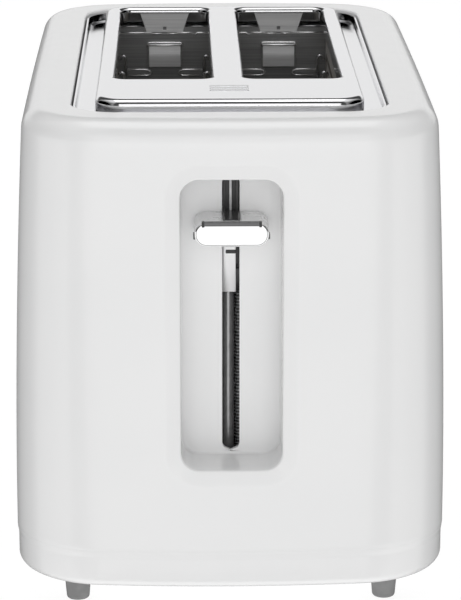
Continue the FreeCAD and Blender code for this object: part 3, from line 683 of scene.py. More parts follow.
@dataclass(frozen=True)
class Finish:
    """One finish of the toaster's parts.

    Attributes:
        name: The material's name.
        pattern: How the surface was made.
        colour: Its main colour, linear.
        tint: The colour that it shades into.
        roughness: Its roughness.
        metallic: One for metal.
        coat: Weight of a clear gloss over it.
        spread: How far the roughness varies.
        relief: Depth of its texture in millimetres.
    """

    name: str
    pattern: Pattern
    colour: Colour
    tint: Colour
    roughness: float
    metallic: float = 0.0
    coat: float = 0.0
    spread: float = 0.05
    relief: float = 0.01

    def _texture(self, graph: Graph) -> tuple[Wire, Wire, Wire]:
        """Build the pattern.

        Returns:
            The share of the tint, the share of the roughness spread, and the height.
        """
        pattern = self.pattern
        if pattern is Pattern.POLISHED:
            cloud = graph.noise(38.0, 3.0)
            peel = graph.noise(1.6, 2.0)
            return cloud.between(0.3, 0.7), graph.noise(7.0, 4.0), peel
        if pattern is Pattern.GRAINED:
            grain = graph.noise(0.42, 3.0)
            return graph.noise(11.0, 4.0).between(0.35, 0.7), grain, grain
        if pattern in (Pattern.BRUSHED_LENGTHWAYS, Pattern.BRUSHED_ACROSS):
            along = pattern is Pattern.BRUSHED_LENGTHWAYS
            stretch = (1.0, 0.012, 1.0) if along else (0.012, 1.0, 1.0)
            fine = graph.noise(0.11, 2.0, stretch)
            coarse = graph.noise(0.6, 3.0, stretch)
            return coarse.between(0.35, 0.7), fine * 0.6 + coarse * 0.4, fine
        if pattern is Pattern.ROLLED:
            spangle = graph.cells(3.2)
            rolling = graph.noise(0.4, 2.0, (1.0, 1.0, 0.05))
            return spangle * 0.7 + graph.noise(14.0, 4.0) * 0.4, spangle, rolling
        if pattern is Pattern.DRAWN:
            draw = graph.noise(0.25, 2.0, (1.0, 1.0, 0.04))
            return graph.noise(3.0, 4.0).between(0.4, 0.75), draw, draw
        if pattern is Pattern.FLAKED:
            flakes = graph.cells(2.4, (1.0, 1.0, 1.6))
            depth = graph.noise(1.1, 6.0)
            return flakes * 0.5 + depth * 0.5, depth, flakes * 0.6 + depth * 0.4
        if pattern is Pattern.WOUND:
            turns = (graph.axis("Z") * (2 * math.pi / 0.55)).sine() * 0.5 + 0.5
            return turns * 0.5 + graph.noise(1.5, 3.0) * 0.4, graph.noise(0.8), turns
        if pattern is Pattern.PRINTED:
            tracks = graph.cells(1.8, (1.0, 1.0, 0.35)).between(0.45, 0.5)
            return tracks, graph.noise(4.0, 3.0), tracks
        speck = graph.noise(0.7, 5.0)
        return graph.noise(6.0, 5.0).between(0.35, 0.7), speck, speck

    def build(self) -> bpy.types.Material:
        """Make the material, or return it if it is there already."""
        made = bpy.data.materials.get(self.name)
        if made is not None:
            return made
        material = bpy.data.materials.new(self.name)
        graph = Surface(material)
        tint_share, rough_share, height = self._texture(graph)
        low = self.roughness - self.spread
        graph.set(Base_Color=graph.blend(tint_share, self.colour, self.tint),
                  Roughness=rough_share * (2 * self.spread) + low,
                  Metallic=self.metallic, Coat_Weight=self.coat, Coat_Roughness=0.06,
                  Normal=graph.bump(height, self.relief))
        material.diffuse_color = (*self.colour, 1.0)
        material.roughness = self.roughness
        material.metallic = self.metallic
        return material

    def dress(self, piece: bpy.types.Object) -> bpy.types.Object:
        """Give a piece this finish alone."""
        material = self.build()
        if not piece.data.materials:
            piece.data.materials.append(material)
        for slot in piece.material_slots:
            slot.material = material
        return piece


def grey(level: float) -> Colour:
    """A colour without hue."""
    return (level, level, level)


WHITE_GLOSS = Finish("white_gloss_moulding", Pattern.POLISHED, grey(0.90), (0.888, 0.889, 0.89),
                     0.24, coat=0.25, spread=0.03, relief=0.004)
WHITE_GRIP = Finish("white_grip_moulding", Pattern.POLISHED, grey(0.86), (0.845, 0.847, 0.85),
                    0.28, coat=0.15, spread=0.04, relief=0.004)
DECK_STEEL = Finish("deck_steel", Pattern.BRUSHED_LENGTHWAYS, grey(0.90), (0.86, 0.865, 0.87),
                    0.12, 1.0, spread=0.03, relief=0.0008)
BRIGHT_CAP = Finish("bright_cap_plating", Pattern.BRUSHED_ACROSS, grey(0.96), (0.94, 0.94, 0.945),
                    0.14, 1.0, spread=0.03, relief=0.0005)
# Painted reflection: a dark grey that stands for the reflection in the lever cap's rounded top
# edge; the grip's small end tabs use it as their grey.
REFLECTION_STRIP_AND_TAB_GREY = Finish("cap_reflection_strip_and_tab_grey", Pattern.BRUSHED_ACROSS, grey(0.17), (0.14, 0.14, 0.145),
                  0.42, 0.3, spread=0.05, relief=0.001)
BRIGHT_STRIP = Finish("bright_strip_steel", Pattern.DRAWN, grey(0.97), (0.94, 0.94, 0.945),
                      0.42, 0.5, spread=0.05, relief=0.002)
DARK_PLATE = Finish("dark_plate_steel", Pattern.BRUSHED_ACROSS, grey(0.34), (0.26, 0.26, 0.262),
                    0.36, 0.6, spread=0.08, relief=0.004)
# Lighter steel of the tapered end tabs; the raised boxes' fluted faces take it too, as painted
# light that makes them read brighter than the dark boxes.
TAB_STEEL_AND_PAINTED_LIGHT = Finish("end_tab_and_painted_light_steel", Pattern.BRUSHED_ACROSS, grey(0.78), (0.66, 0.66, 0.662),
                     0.4, 0.25, spread=0.06, relief=0.003)
# Bright steel laid as bars along the dark end panel's edges, as painted highlights; the rods behind
# the end tabs take it too.
EDGE_HIGHLIGHT_AND_ROD_STEEL = Finish("painted_edge_highlight_and_rod_steel", Pattern.DRAWN, grey(0.93), grey(0.82),
                     0.22, 1.0, spread=0.05, relief=0.002)
REFLECTOR = Finish("reflector_sheet", Pattern.ROLLED, grey(0.62), (0.50, 0.50, 0.51),
                   0.24, 1.0, spread=0.07, relief=0.004)
FRAME_STEEL = Finish("frame_steel", Pattern.ROLLED, (0.50, 0.50, 0.51), (0.38, 0.385, 0.40),
                     0.36, 1.0, spread=0.1, relief=0.006)
ROD_STEEL = Finish("ground_rod_steel", Pattern.DRAWN, (0.52, 0.52, 0.525), (0.42, 0.42, 0.425),
                   0.24, 0.55, spread=0.05, relief=0.002)
SPRING_STEEL = Finish("spring_wire", Pattern.DRAWN, (0.86, 0.86, 0.87), (0.74, 0.74, 0.75),
                      0.35, 0.3, spread=0.06, relief=0.002)
GUIDE_WIRE = Finish("guide_wire", Pattern.DRAWN, grey(0.78), (0.60, 0.60, 0.61),
                    0.2, 1.0, spread=0.07, relief=0.003)
BLACK_MOULDING = Finish("black_moulding", Pattern.GRAINED, (0.016, 0.016, 0.017),
                        (0.026, 0.026, 0.027),
                        0.38, spread=0.08, relief=0.012)
MICA = Finish("mica_sheet", Pattern.FLAKED, (0.40, 0.385, 0.36), (0.58, 0.56, 0.53),
              0.35, spread=0.12, relief=0.03)
RIBBON = Finish("heater_ribbon_alloy", Pattern.BRUSHED_LENGTHWAYS, (0.24, 0.22, 0.21),
                (0.17, 0.14, 0.12),
                0.42, 0.9, spread=0.1, relief=0.003)
SOFT_IRON = Finish("soft_iron", Pattern.CAST, (0.30, 0.29, 0.28), (0.22, 0.20, 0.19),
                   0.45, 0.9, spread=0.1, relief=0.01)
COPPER = Finish("copper_winding", Pattern.WOUND, (0.60, 0.22, 0.09), (0.32, 0.10, 0.04),
                0.3, 0.9, spread=0.08, relief=0.12)
BRASS = Finish("contact_brass", Pattern.DRAWN, (0.72, 0.52, 0.22), (0.56, 0.38, 0.15),
               0.3, 1.0, spread=0.08, relief=0.004)
INSULATOR = Finish("white_insulator", Pattern.GRAINED, (0.72, 0.70, 0.66), (0.66, 0.63, 0.58),
                   0.5, spread=0.06, relief=0.01)
PANEL_GREY = Finish("panel_grey_moulding", Pattern.GRAINED, (0.36, 0.37, 0.38), (0.33, 0.34, 0.352),
                    0.42, spread=0.06, relief=0.012)
PRINT_DARK = Finish("dial_mark_ink", Pattern.GRAINED, (0.05, 0.052, 0.056), (0.07, 0.072, 0.076),
                    0.5, spread=0.06, relief=0.006)
LENS_BLUE = Finish("blue_lens", Pattern.POLISHED, (0.05, 0.20, 0.62), (0.07, 0.26, 0.70),
                   0.12, coat=0.6, spread=0.03, relief=0.002)
BOARD_GREEN = Finish("board_green", Pattern.PRINTED, (0.015, 0.11, 0.045), (0.03, 0.19, 0.075),
                     0.35, spread=0.08, relief=0.03)
PART_BLACK = Finish("component_black", Pattern.CAST, (0.02, 0.02, 0.022), (0.035, 0.035, 0.037),
                    0.48, spread=0.08, relief=0.008)
RUBBER = Finish("grey_rubber", Pattern.CAST, grey(0.25), (0.21, 0.21, 0.212),
                0.62, spread=0.08, relief=0.02)
SCREW_STEEL = Finish("screw_steel", Pattern.DRAWN, (0.60, 0.60, 0.61), (0.45, 0.45, 0.46),
                     0.3, 1.0, spread=0.08, relief=0.003)
TRAY_STEEL = Finish("tray_steel", Pattern.ROLLED, (0.58, 0.58, 0.59), (0.48, 0.48, 0.49),
                    0.34, 1.0, spread=0.08, relief=0.005)
GLAND_GREY = Finish("gland_grey_moulding", Pattern.GRAINED, (0.48, 0.48, 0.49), (0.43, 0.43, 0.44),
                    0.45, spread=0.05, relief=0.01)


def keep(piece: bpy.types.Object, body: str, slot: str, finish: Finish,
         *nodes: str) -> bpy.types.Object:
    """Settle a finished piece in the frame.

    Args:
        piece: The piece, in place.
        body: The CAD body that it moves with.
        slot: The record's material slot that it would take its finish from; it is not used.
        finish: Its finish.
        nodes: CAD nodes that it stands for.

    Returns:
        The same piece.
    """
    finish.dress(piece)
    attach(piece, body)
    if nodes:
        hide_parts(*nodes)
    log.info("%s rides on %s", piece.name, body)
    return piece


# ---------------------------------------------------------------- body plan and windows

@dataclass
class BodyPlan:
    """The body seen from above: four long arcs joined by tangent corner arcs."""

    half_width: float
    half_length: float
    corner: float = 36.0
    end_crown: float = 535.0
    side_crown: float = 15000.0
    corner_steps: int = 16
    taper_start: float = 35.0
    taper_end: float = 184.0
    taper_inset: float = 4.35
    taper_power: float = 1.75
    stations: list[tuple[Vector, Vector]] = field(default_factory=list)

    def __post_init__(self) -> None:
        """Work out the arcs' centres."""
        self.side_centre = self.half_width - self.side_crown
        self.end_centre = self.half_length - self.end_crown
        side_reach = self.side_crown - self.corner
        end_reach = self.end_crown - self.corner
        gap = math.hypot(self.side_centre, self.end_centre)
        step = (side_reach ** 2 - end_reach ** 2 + gap ** 2) / (2 * gap)
        rise = math.sqrt(side_reach ** 2 - step ** 2)
        unit = Vector((-self.side_centre / gap, self.end_centre / gap))
        start = Vector((self.side_centre, 0.0)) + step * unit
        found = [start + rise * way * Vector((-unit.y, unit.x)) for way in (1, -1)]
        self.corner_centre = next(point for point in found if point.x > 0 and point.y > 0)
        to_side = self.corner_centre - Vector((self.side_centre, 0.0))
        to_end = self.corner_centre - Vector((0.0, self.end_centre))
        self.side_angle = math.atan2(to_side.y, to_side.x)
        self.end_angle = math.atan2(to_end.y, to_end.x)

    def inset(self, z: float) -> float:
        """How far the sides and ends lean in at a height."""
        if z <= self.taper_start:
            return 0.0
        share = (z - self.taper_start) / (self.taper_end - self.taper_start)
        return self.taper_inset * share ** self.taper_power

    def _quarter(self, side_ys: Sequence[float],
                 end_xs: Sequence[float]) -> list[tuple[Vector, Vector]]:
        """One quarter of the plan, from the middle of a side to the middle of an end.

        Args:
            side_ys: Distances along the side from its middle, rising from 0.
            end_xs: Distances across the end from its middle, falling to 0.

        Returns:
            Pairs of a point and the outward direction there.
        """
        found = []
        for y in side_ys:
            angle = math.asin(y / self.side_crown)
            way = Vector((math.cos(angle), math.sin(angle)))
            found.append((Vector((self.side_centre, 0.0)) + way * self.side_crown, way))
        for step in range(self.corner_steps + 1):
            angle = self.side_angle + (self.end_angle - self.side_angle) * step / self.corner_steps
            way = Vector((math.cos(angle), math.sin(angle)))
            found.append((self.corner_centre + way * self.corner, way))
        for x in end_xs:
            angle = math.acos(x / self.end_crown)
            way = Vector((math.cos(angle), math.sin(angle)))
            found.append((Vector((0.0, self.end_centre)) + way * self.end_crown, way))
        return found

    def lay_out(self, front_ys: Sequence[float], rear_ys: Sequence[float],
                end_xs: Sequence[float]) -> None:
        """Choose the stations round the plan.

        Args:
            front_ys: Distances along the side's front half, rising from 0.
            rear_ys: Distances along its rear half, rising from 0.
            end_xs: Distances across both ends, falling to 0.
        """
        def turned(part: list[tuple[Vector, Vector]], sx: float,
                   sy: float) -> list[tuple[Vector, Vector]]:
            """One quarter, mirrored into place."""
            return [(Vector((p.x * sx, p.y * sy)), Vector((n.x * sx, n.y * sy))) for p, n in part]

        rear = self._quarter(rear_ys, end_xs)
        front = self._quarter(front_ys, end_xs)
        self.stations = (turned(rear, 1, 1) + turned(rear, -1, 1)[::-1][1:]
                         + turned(front, -1, -1)[1:]
                         + turned(front, 1, -1)[::-1][1:-1])

    def ring(self, inset: float, z: float) -> list[Vector]:
        """The plan drawn in by an inset, at a height."""
        return [Vector((p.x - n.x * inset, p.y - n.y * inset, z)) for p, n in self.stations]

    def front_y(self, x: float, z: float) -> float:
        """Y of the front end's surface."""
        radius = self.end_crown - self.inset(z)
        return -self.end_centre - math.sqrt(radius ** 2 - x ** 2)

    def left_x(self, y: float, z: float) -> float:
        """X of the left side's surface."""
        radius = self.side_crown - self.inset(z)
        return -self.side_centre - math.sqrt(radius ** 2 - y ** 2)


@dataclass
class Window:
    """A rounded window, whose rings run parallel to each other about its corner centres."""

    a0: float
    a1: float
    b0: float
    b1: float
    radius: float
    margin: float
    steps: int = 6

    def fan(self, centre: float, way: float, edge: float = 0.0) -> list[float]:
        """Grid lines that meet a corner arc at even angles.

        Args:
            centre: The corner arc's centre.
            way: One or minus one, the side of the centre that they lie on.
            edge: How much larger than the window the arc is.

        Returns:
            The lines, from the centre outwards.
        """
        reach = self.radius + edge + self.margin
        return [centre + way * reach * math.tan(math.radians(45.0 * step / self.steps))
                for step in range(self.steps + 1)]

    def holds(self, a: float, b: float, edge: float) -> bool:
        """Whether a point is inside the cut that is made for the window."""
        grow = edge + self.margin
        return self.a0 - grow < a < self.a1 + grow and self.b0 - grow < b < self.b1 + grow

    def aim(self, points: Sequence[tuple[float, float]]) -> list[tuple[Vector, Vector]]:
        """Find each point's place on the window.

        Args:
            points: Pairs outside the corner centres' rectangle.

        Returns:
            Pairs of the nearest place in that rectangle and the direction from it.
        """
        found = []
        for a, b in points:
            core = Vector((min(max(a, self.a0 + self.radius), self.a1 - self.radius),
                           min(max(b, self.b0 + self.radius), self.b1 - self.radius)))
            found.append((core, (Vector((a, b)) - core).normalized()))
        return found

    def ring(self, aims: Sequence[tuple[Vector, Vector]], grow: float,
             lift: Callable[[float, float], Vector]) -> list[Vector]:
        """One ring about the window, placed in space by a function of its two coordinates."""
        places = [core + way * max(self.radius + grow, 0.02) for core, way in aims]
        return [lift(place.x, place.y) for place in places]


def joined_lines(*groups: Sequence[float], gap: float = 0.35) -> list[float]:
    """Merge grid lines in rising order and leave out those that nearly meet.

    Args:
        groups: Lines, the most important group first.
        gap: The least distance between two lines.

    Returns:
        The lines that stay.
    """
    kept: list[float] = []
    for group in groups:
        for line in group:
            if all(abs(line - other) > gap for other in kept):
                kept.append(line)
    return sorted(kept)


def even(start: float, end: float, count: int) -> list[float]:
    """Evenly spaced values, with both ends."""
    return [start + (end - start) * index / (count - 1) for index in range(count)]


# ---------------------------------------------------------------- housing

OPENING_HALF = 60.0
OPENING_FRONT = 24.6
OPENING_REAR = 251.0
OPENING_RADIUS = 18.0


@dataclass
class Housing:
    """White shell, base, feet and cord gland."""

    edge_radius: float = 8.0
    wall: float = 2.2
    skirt_inset: float = 0.5
    doorway_half: float = 40.6
    bay_border: float = 5.6
    bay_border_depth: float = 1.5
    bay_depth: float = 22.0
    bay_edge: float = 0.9
    slot_half: float = 3.25
    slot_low: float = 58.7
    slot_high: float = 167.0
    pocket_edge: float = 1.2
    pocket_floor_x: float = -72.0
    opening: Outline = field(default_factory=lambda: Outline(
        -OPENING_HALF, OPENING_HALF, behind(OPENING_FRONT), behind(OPENING_REAR), OPENING_RADIUS))
    bay: Window = field(default_factory=lambda: Window(-19.1, 19.1, 57.3, 168.7, 7.0, 3.0))
    pocket: Window = field(default_factory=lambda: Window(behind(44.0), behind(100.0), 42.0, 150.0,
                                                          8.0, 2.5))

    def build(self) -> None:
        """Model and settle every piece."""
        self.plan = BodyPlan(SHELL_HIGH.x, SHELL_HIGH.y)
        keep(self._shell(), "housing", "white_gloss", WHITE_GLOSS, "outer_shell")
        keep(softened("base_cover", "base_skirt", 0.0, 28.0), "housing", "white_gloss", WHITE_GLOSS)
        keep(self._seam_trim(), "housing", "white_gloss", WHITE_GLOSS)
        keep(softened("cord_gland", "cord_gland_ring", 0.4, 40.0), "housing", "gland_grey",
             GLAND_GREY)
        for end in ("front", "rear"):
            for side in ("left", "right"):
                node = f"foot_{end}_{side}"
                keep(self._foot(node), "housing", "foot_rubber", RUBBER, node)

    def _rows(self) -> list[float]:
        """Heights of the shell's rings, from above the seam to below the rounded top edge."""
        bay, pocket = self.bay, self.pocket
        bay_rows = (bay.fan(bay.b0 + bay.radius, -1, self.bay_border)
                    + bay.fan(bay.b1 - bay.radius, 1, self.bay_border))
        pocket_rows = (pocket.fan(pocket.b0 + pocket.radius, -1, self.pocket_edge)
                       + pocket.fan(pocket.b1 - pocket.radius, 1, self.pocket_edge))
        edges = [bay_rows[bay.steps], bay_rows[-1], pocket_rows[pocket.steps], pocket_rows[-1]]
        shoulder = SHELL_HIGH.z - self.edge_radius
        return joined_lines(edges, bay_rows, pocket_rows, [SHELL_LOW.z + 2.0, SHELL_LOW.z + 7.0],
                            even(bay_rows[0], pocket_rows[pocket.steps + 1], 9),
                            [shoulder - 2.5, shoulder])

    def _lay_out(self) -> None:
        """Place the plan's stations so that they meet both windows."""
        bay, pocket = self.bay, self.pocket
        columns = bay.fan(bay.a1 - bay.radius, 1, self.bay_border)
        end_xs = joined_lines(columns, [0.0, 4.0, 8.0, self.doorway_half], [34.5, 45.0])[::-1]
        near = [-y for y in pocket.fan(pocket.a1 - pocket.radius, 1, self.pocket_edge)]
        far = [-y for y in pocket.fan(pocket.a0 + pocket.radius, -1, self.pocket_edge)]
        front_ys = joined_lines(near, far, [0.0, 11.6, 23.2], even(near[0], far[0], 5))
        self.plan.lay_out(front_ys, even(0.0, 92.0, 9), end_xs)

    def _shell(self) -> bpy.types.Object:
        """Grow the shell from its seam to the deck opening, then cut and line its windows."""
        self._lay_out()
        plan = self.plan
        seam, rim = SHELL_LOW.z, SHELL_HIGH.z
        skin = Skin("shell_moulding", plan.ring(0.04, seam))
        skin.grow(plan.ring(0.0, seam + 0.12))
        for z in self._rows():
            skin.grow(plan.ring(plan.inset(z), z))
        shoulder = rim - self.edge_radius
        for inset, z in quarter((0.0, shoulder), (self.edge_radius, rim), steps=10):
            skin.grow(plan.ring(plan.inset(z) + inset, z))
        top = plan.inset(rim) + self.edge_radius
        skin.grow(plan.ring(top + 0.8, rim))
        mouth = Window(self.opening.a0, self.opening.a1, self.opening.b0, self.opening.b1,
                       self.opening.radius, 0.0)
        aims = mouth.aim([(p.x, p.y) for p in plan.ring(top, rim)])
        lip = 1.0
        for grow, z in ([(lip + 0.6, rim), (lip, rim)]
                        + quarter((lip, rim), (0.0, rim - lip), True, 5)
                        + [(0.0, rim - 4.0)]):
            skin.grow(mouth.ring(aims, grow, lambda a, b, level=z: Vector((a, b, level))))
        self._line_bay(skin)
        self._line_pocket(skin)
        return skin.done(wall=self.wall, degrees=40.0)

    def _line_bay(self, skin: Skin) -> None:
        """Cut the lever bay and line it: bevelled border, walls, back and the lever's slot."""
        bay, plan = self.bay, self.plan
        rim = skin.window(lambda p: p.y < behind(30.0) and bay.holds(p.x, p.z, self.bay_border))
        aims = bay.aim([(p.x, p.z) for p in rim])
        back = behind(self.bay_depth)
        slope = self.bay_border_depth / self.bay_border

        def ring(grow: float, depth: float, share: float = 0.0) -> list[Vector]:
            """A ring along the shell's face, drawn towards the flat back by a share."""
            return bay.ring(aims, grow, lambda a, b: Vector(
                (a, (plan.front_y(a, b) + depth) * (1 - share) + back * share, b)))

        def back_ring(grow: float, y: float) -> list[Vector]:
            """A flat ring at the bay's back."""
            return bay.ring(aims, grow, lambda a, b: Vector((a, y, b)))

        border, edge = self.bay_border, self.bay_edge
        skin.grow(ring(border + 0.5, 0.0)).grow(ring(border + 0.08, 0.004)).grow(ring(border - 0.3,
                                                                                      0.3 * slope))
        skin.grow(ring(border / 2, border / 2 * slope))
        start = (edge, self.bay_border_depth - edge * slope)
        skin.grow(ring(edge + 0.4, start[1] - 0.4 * slope)).grow(ring(*start))
        for grow, depth in quarter(start, (0.0, start[1] + edge), True, 5):
            skin.grow(ring(grow, depth))
        corner = 0.9
        for share in (0.25, 0.5, 0.75):
            skin.grow(ring(0.0, (start[1] + edge) * (1 - share),
                           share * (1 - corner / self.bay_depth)))
        skin.grow(back_ring(0.0, back - corner))
        for grow, y in quarter((0.0, back - corner), (-corner, back), False, 4):
            skin.grow(back_ring(grow, y))
        skin.grow(back_ring(-corner - 0.3, back))
        slot = Window(-self.slot_half, self.slot_half, self.slot_low, self.slot_high,
                      self.slot_half, 0.0)
        slot_aims = slot.aim([(p.x, p.z) for p in back_ring(-corner - 0.3, back)])
        for grow, y in ([(0.45, back), (0.3, back)]
                        + quarter((0.3, back), (0.0, back + 0.3), True, 3)
                        + [(0.0, back + self.wall)]):
            skin.grow(slot.ring(slot_aims, grow, lambda a, b, level=y: Vector((a, level, b))))

    def _line_pocket(self, skin: Skin) -> None:
        """Cut the control pocket in the left side and line its walls."""
        pocket, plan, edge = self.pocket, self.plan, self.pocket_edge
        rim = skin.window(lambda p: p.x < -self.opening.a1 and pocket.holds(p.y, p.z, edge))
        aims = pocket.aim([(p.y, p.z) for p in rim])

        def ring(grow: float, depth: float) -> list[Vector]:
            """A ring along the side's face."""
            return pocket.ring(aims, grow, lambda a, b: Vector((plan.left_x(a, b) + depth, a, b)))

        skin.grow(ring(edge + 0.4, 0.0)).grow(ring(edge, 0.0))
        for grow, depth in quarter((edge, 0.0), (0.0, edge), True, 5):
            skin.grow(ring(grow, depth))
        skin.grow(ring(0.0, 4.0))
        skin.grow(pocket.ring(aims, 0.0, lambda a, b: Vector((self.pocket_floor_x, a, b))))

    def _seam_trim(self) -> bpy.types.Object:
        """Soft shoulder of the skirt where it meets the shell."""
        seam, plan, step = SHELL_LOW.z, self.plan, self.skirt_inset
        skin = Skin("skirt_shoulder", plan.ring(step + 0.3, seam - 0.02))
        skin.grow(plan.ring(0.06, seam - 0.02))
        for share in (0.04, 0.2, 0.5, 0.8, 0.96, 1.0):
            skin.grow(plan.ring(0.06 + (step - 0.06) * share,
                                seam - 0.1 - 3.6 * math.acos(1 - 2 * share) / math.pi))
        skin.grow(plan.ring(step + 0.3, seam - 3.75))
        skin.window(lambda p: p.y > 0 and abs(p.x) < self.doorway_half)
        return skin.done(degrees=60.0)

    @staticmethod
    def _foot(node: str) -> bpy.types.Object:
        """Tapered rubber foot with a rounded tread and a groove under its flange."""
        low, high = node_box(node)
        centre = (low + high) / 2
        radius = (high.x - low.x) / 2
        profile = [(-2.2, low.z + 0.5), (-1.9, low.z)]
        profile += [(-1.6, low.z)] + quarter((-1.6, low.z), (-0.75, low.z + 1.2), True, 5)
        profile += [(-0.35, 6.0), (-0.2, 8.6), (-0.5, 9.0), (-0.5, 9.4), (0.0, 9.7), (0.0, high.z)]
        return block(f"{node}_rubber", round_outline(centre.x, centre.y, radius, 10), Facing.PLAN,
                     profile)


# ---------------------------------------------------------------- top deck

@dataclass
class TopDeck:
    """Pressed steel deck in the shell's opening."""

    gap: float = 0.7
    sheet: float = 0.7
    trough_z: float = 185.8
    trough_top: float = 189.2
    top_z: float = 193.2
    edge: float = 2.5
    slot_rim: float = 2.0
    slot_bottom: float = 185.6
    rear_lip_z: float = 190.9
    platform_half: float = 51.0
    platform_front: float = 32.7
    platform_rear: float = 243.0
    platform_radius: float = 11.0
    slot_inner: float = 6.2
    slot_outer: float = 44.3
    slot_front: float = 75.3
    slot_rear: float = 236.8
    slot_radius: float = 5.0
    ridges_at: float = 51.0
    ridge_pitch: float = 4.2
    ridge_length: float = 15.0

    def build(self) -> None:
        """Model and settle the deck and its ridges."""
        pan = Outline(-OPENING_HALF + self.gap, OPENING_HALF - self.gap,
                      behind(OPENING_FRONT + self.gap), behind(OPENING_REAR - self.gap),
                      OPENING_RADIUS - self.gap, 12, 4)
        raised = Outline(-self.platform_half, self.platform_half, behind(self.platform_front),
                         behind(self.platform_rear), self.platform_radius, 12, 4)
        wall = self.sheet + 0.05
        skin = Skin("deck_pressing", pan.ring(Facing.PLAN, -wall, self.trough_top))
        bend = 1.0
        trough = [(-wall, self.trough_z + bend)]
        trough += quarter((-wall, self.trough_z + bend), (-wall - bend, self.trough_z), False, 4)
        skin.sweep(pan, Facing.PLAN, trough + [(-wall - bend - 0.3, self.trough_z)])
        foot = 0.8
        wall_profile = [(foot + 0.3, self.trough_z), (foot, self.trough_z)]
        wall_profile += quarter((foot, self.trough_z), (0.0, self.trough_z + foot), True, 4)
        shoulder = self.top_z - self.edge
        wall_profile += [(0.0, shoulder)] + quarter((0.0, shoulder), (-self.edge, self.top_z),
                                                    False, 8)
        skin.sweep(raised, Facing.PLAN, wall_profile + [(-self.edge - 0.5, self.top_z)])
        for side in (-1, 1):
            inner, outer = sorted((side * self.slot_inner, side * self.slot_outer))
            slot = Outline(inner, outer, behind(self.slot_front), behind(self.slot_rear),
                           self.slot_radius, 8, 3)
            self._slot_rim(skin, slot)
        skin.fill_level(self.top_z)
        keep(skin.done(wall=self.sheet, degrees=50.0), "housing", "deck_steel", DECK_STEEL,
             "top_deck")
        keep(self._ridges(), "housing", "deck_steel", DECK_STEEL)

    def _slot_rim(self, skin: Skin, slot: Outline) -> None:
        """Turn a slot's rim down, with its rear wall cut short above the end plate."""
        rim = self.slot_rim
        skin.start(slot.ring(Facing.PLAN, rim + 0.4, self.top_z))
        skin.sweep(slot, Facing.PLAN, [(rim, self.top_z)]
                   + quarter((rim, self.top_z), (0.0, self.top_z - rim), True, 8)
                   + [(0.0, self.rear_lip_z)])
        ring = slot.ring(Facing.PLAN, 0.0, self.rear_lip_z)
        for point in ring:
            share = min(1.0, max(0.0, (slot.b1 - 0.6 - point.y) / 3.0))
            point.z += (self.slot_bottom - self.rear_lip_z) * share
        skin.grow(ring)

    def _ridges(self) -> bpy.types.Object:
        """Three plain pressed ridges in front of the slots."""
        half, width, rise = self.ridge_length / 2, 0.6, 0.3
        outline = Outline(-half, half, behind(self.ridges_at) - width,
                          behind(self.ridges_at) + width, width, 6)
        profile = [(0.0, self.top_z - 0.1), (-0.05, self.top_z + 0.12),
                   (-0.25, self.top_z + rise * 0.75),
                   (-0.5, self.top_z + rise)]
        piece = block("deck_ridges", outline, Facing.PLAN, profile, 60.0)
        repeat(piece, 3, Vector((0.0, self.ridge_pitch, 0.0)))
        return piece


# ---------------------------------------------------------------- toasting chamber

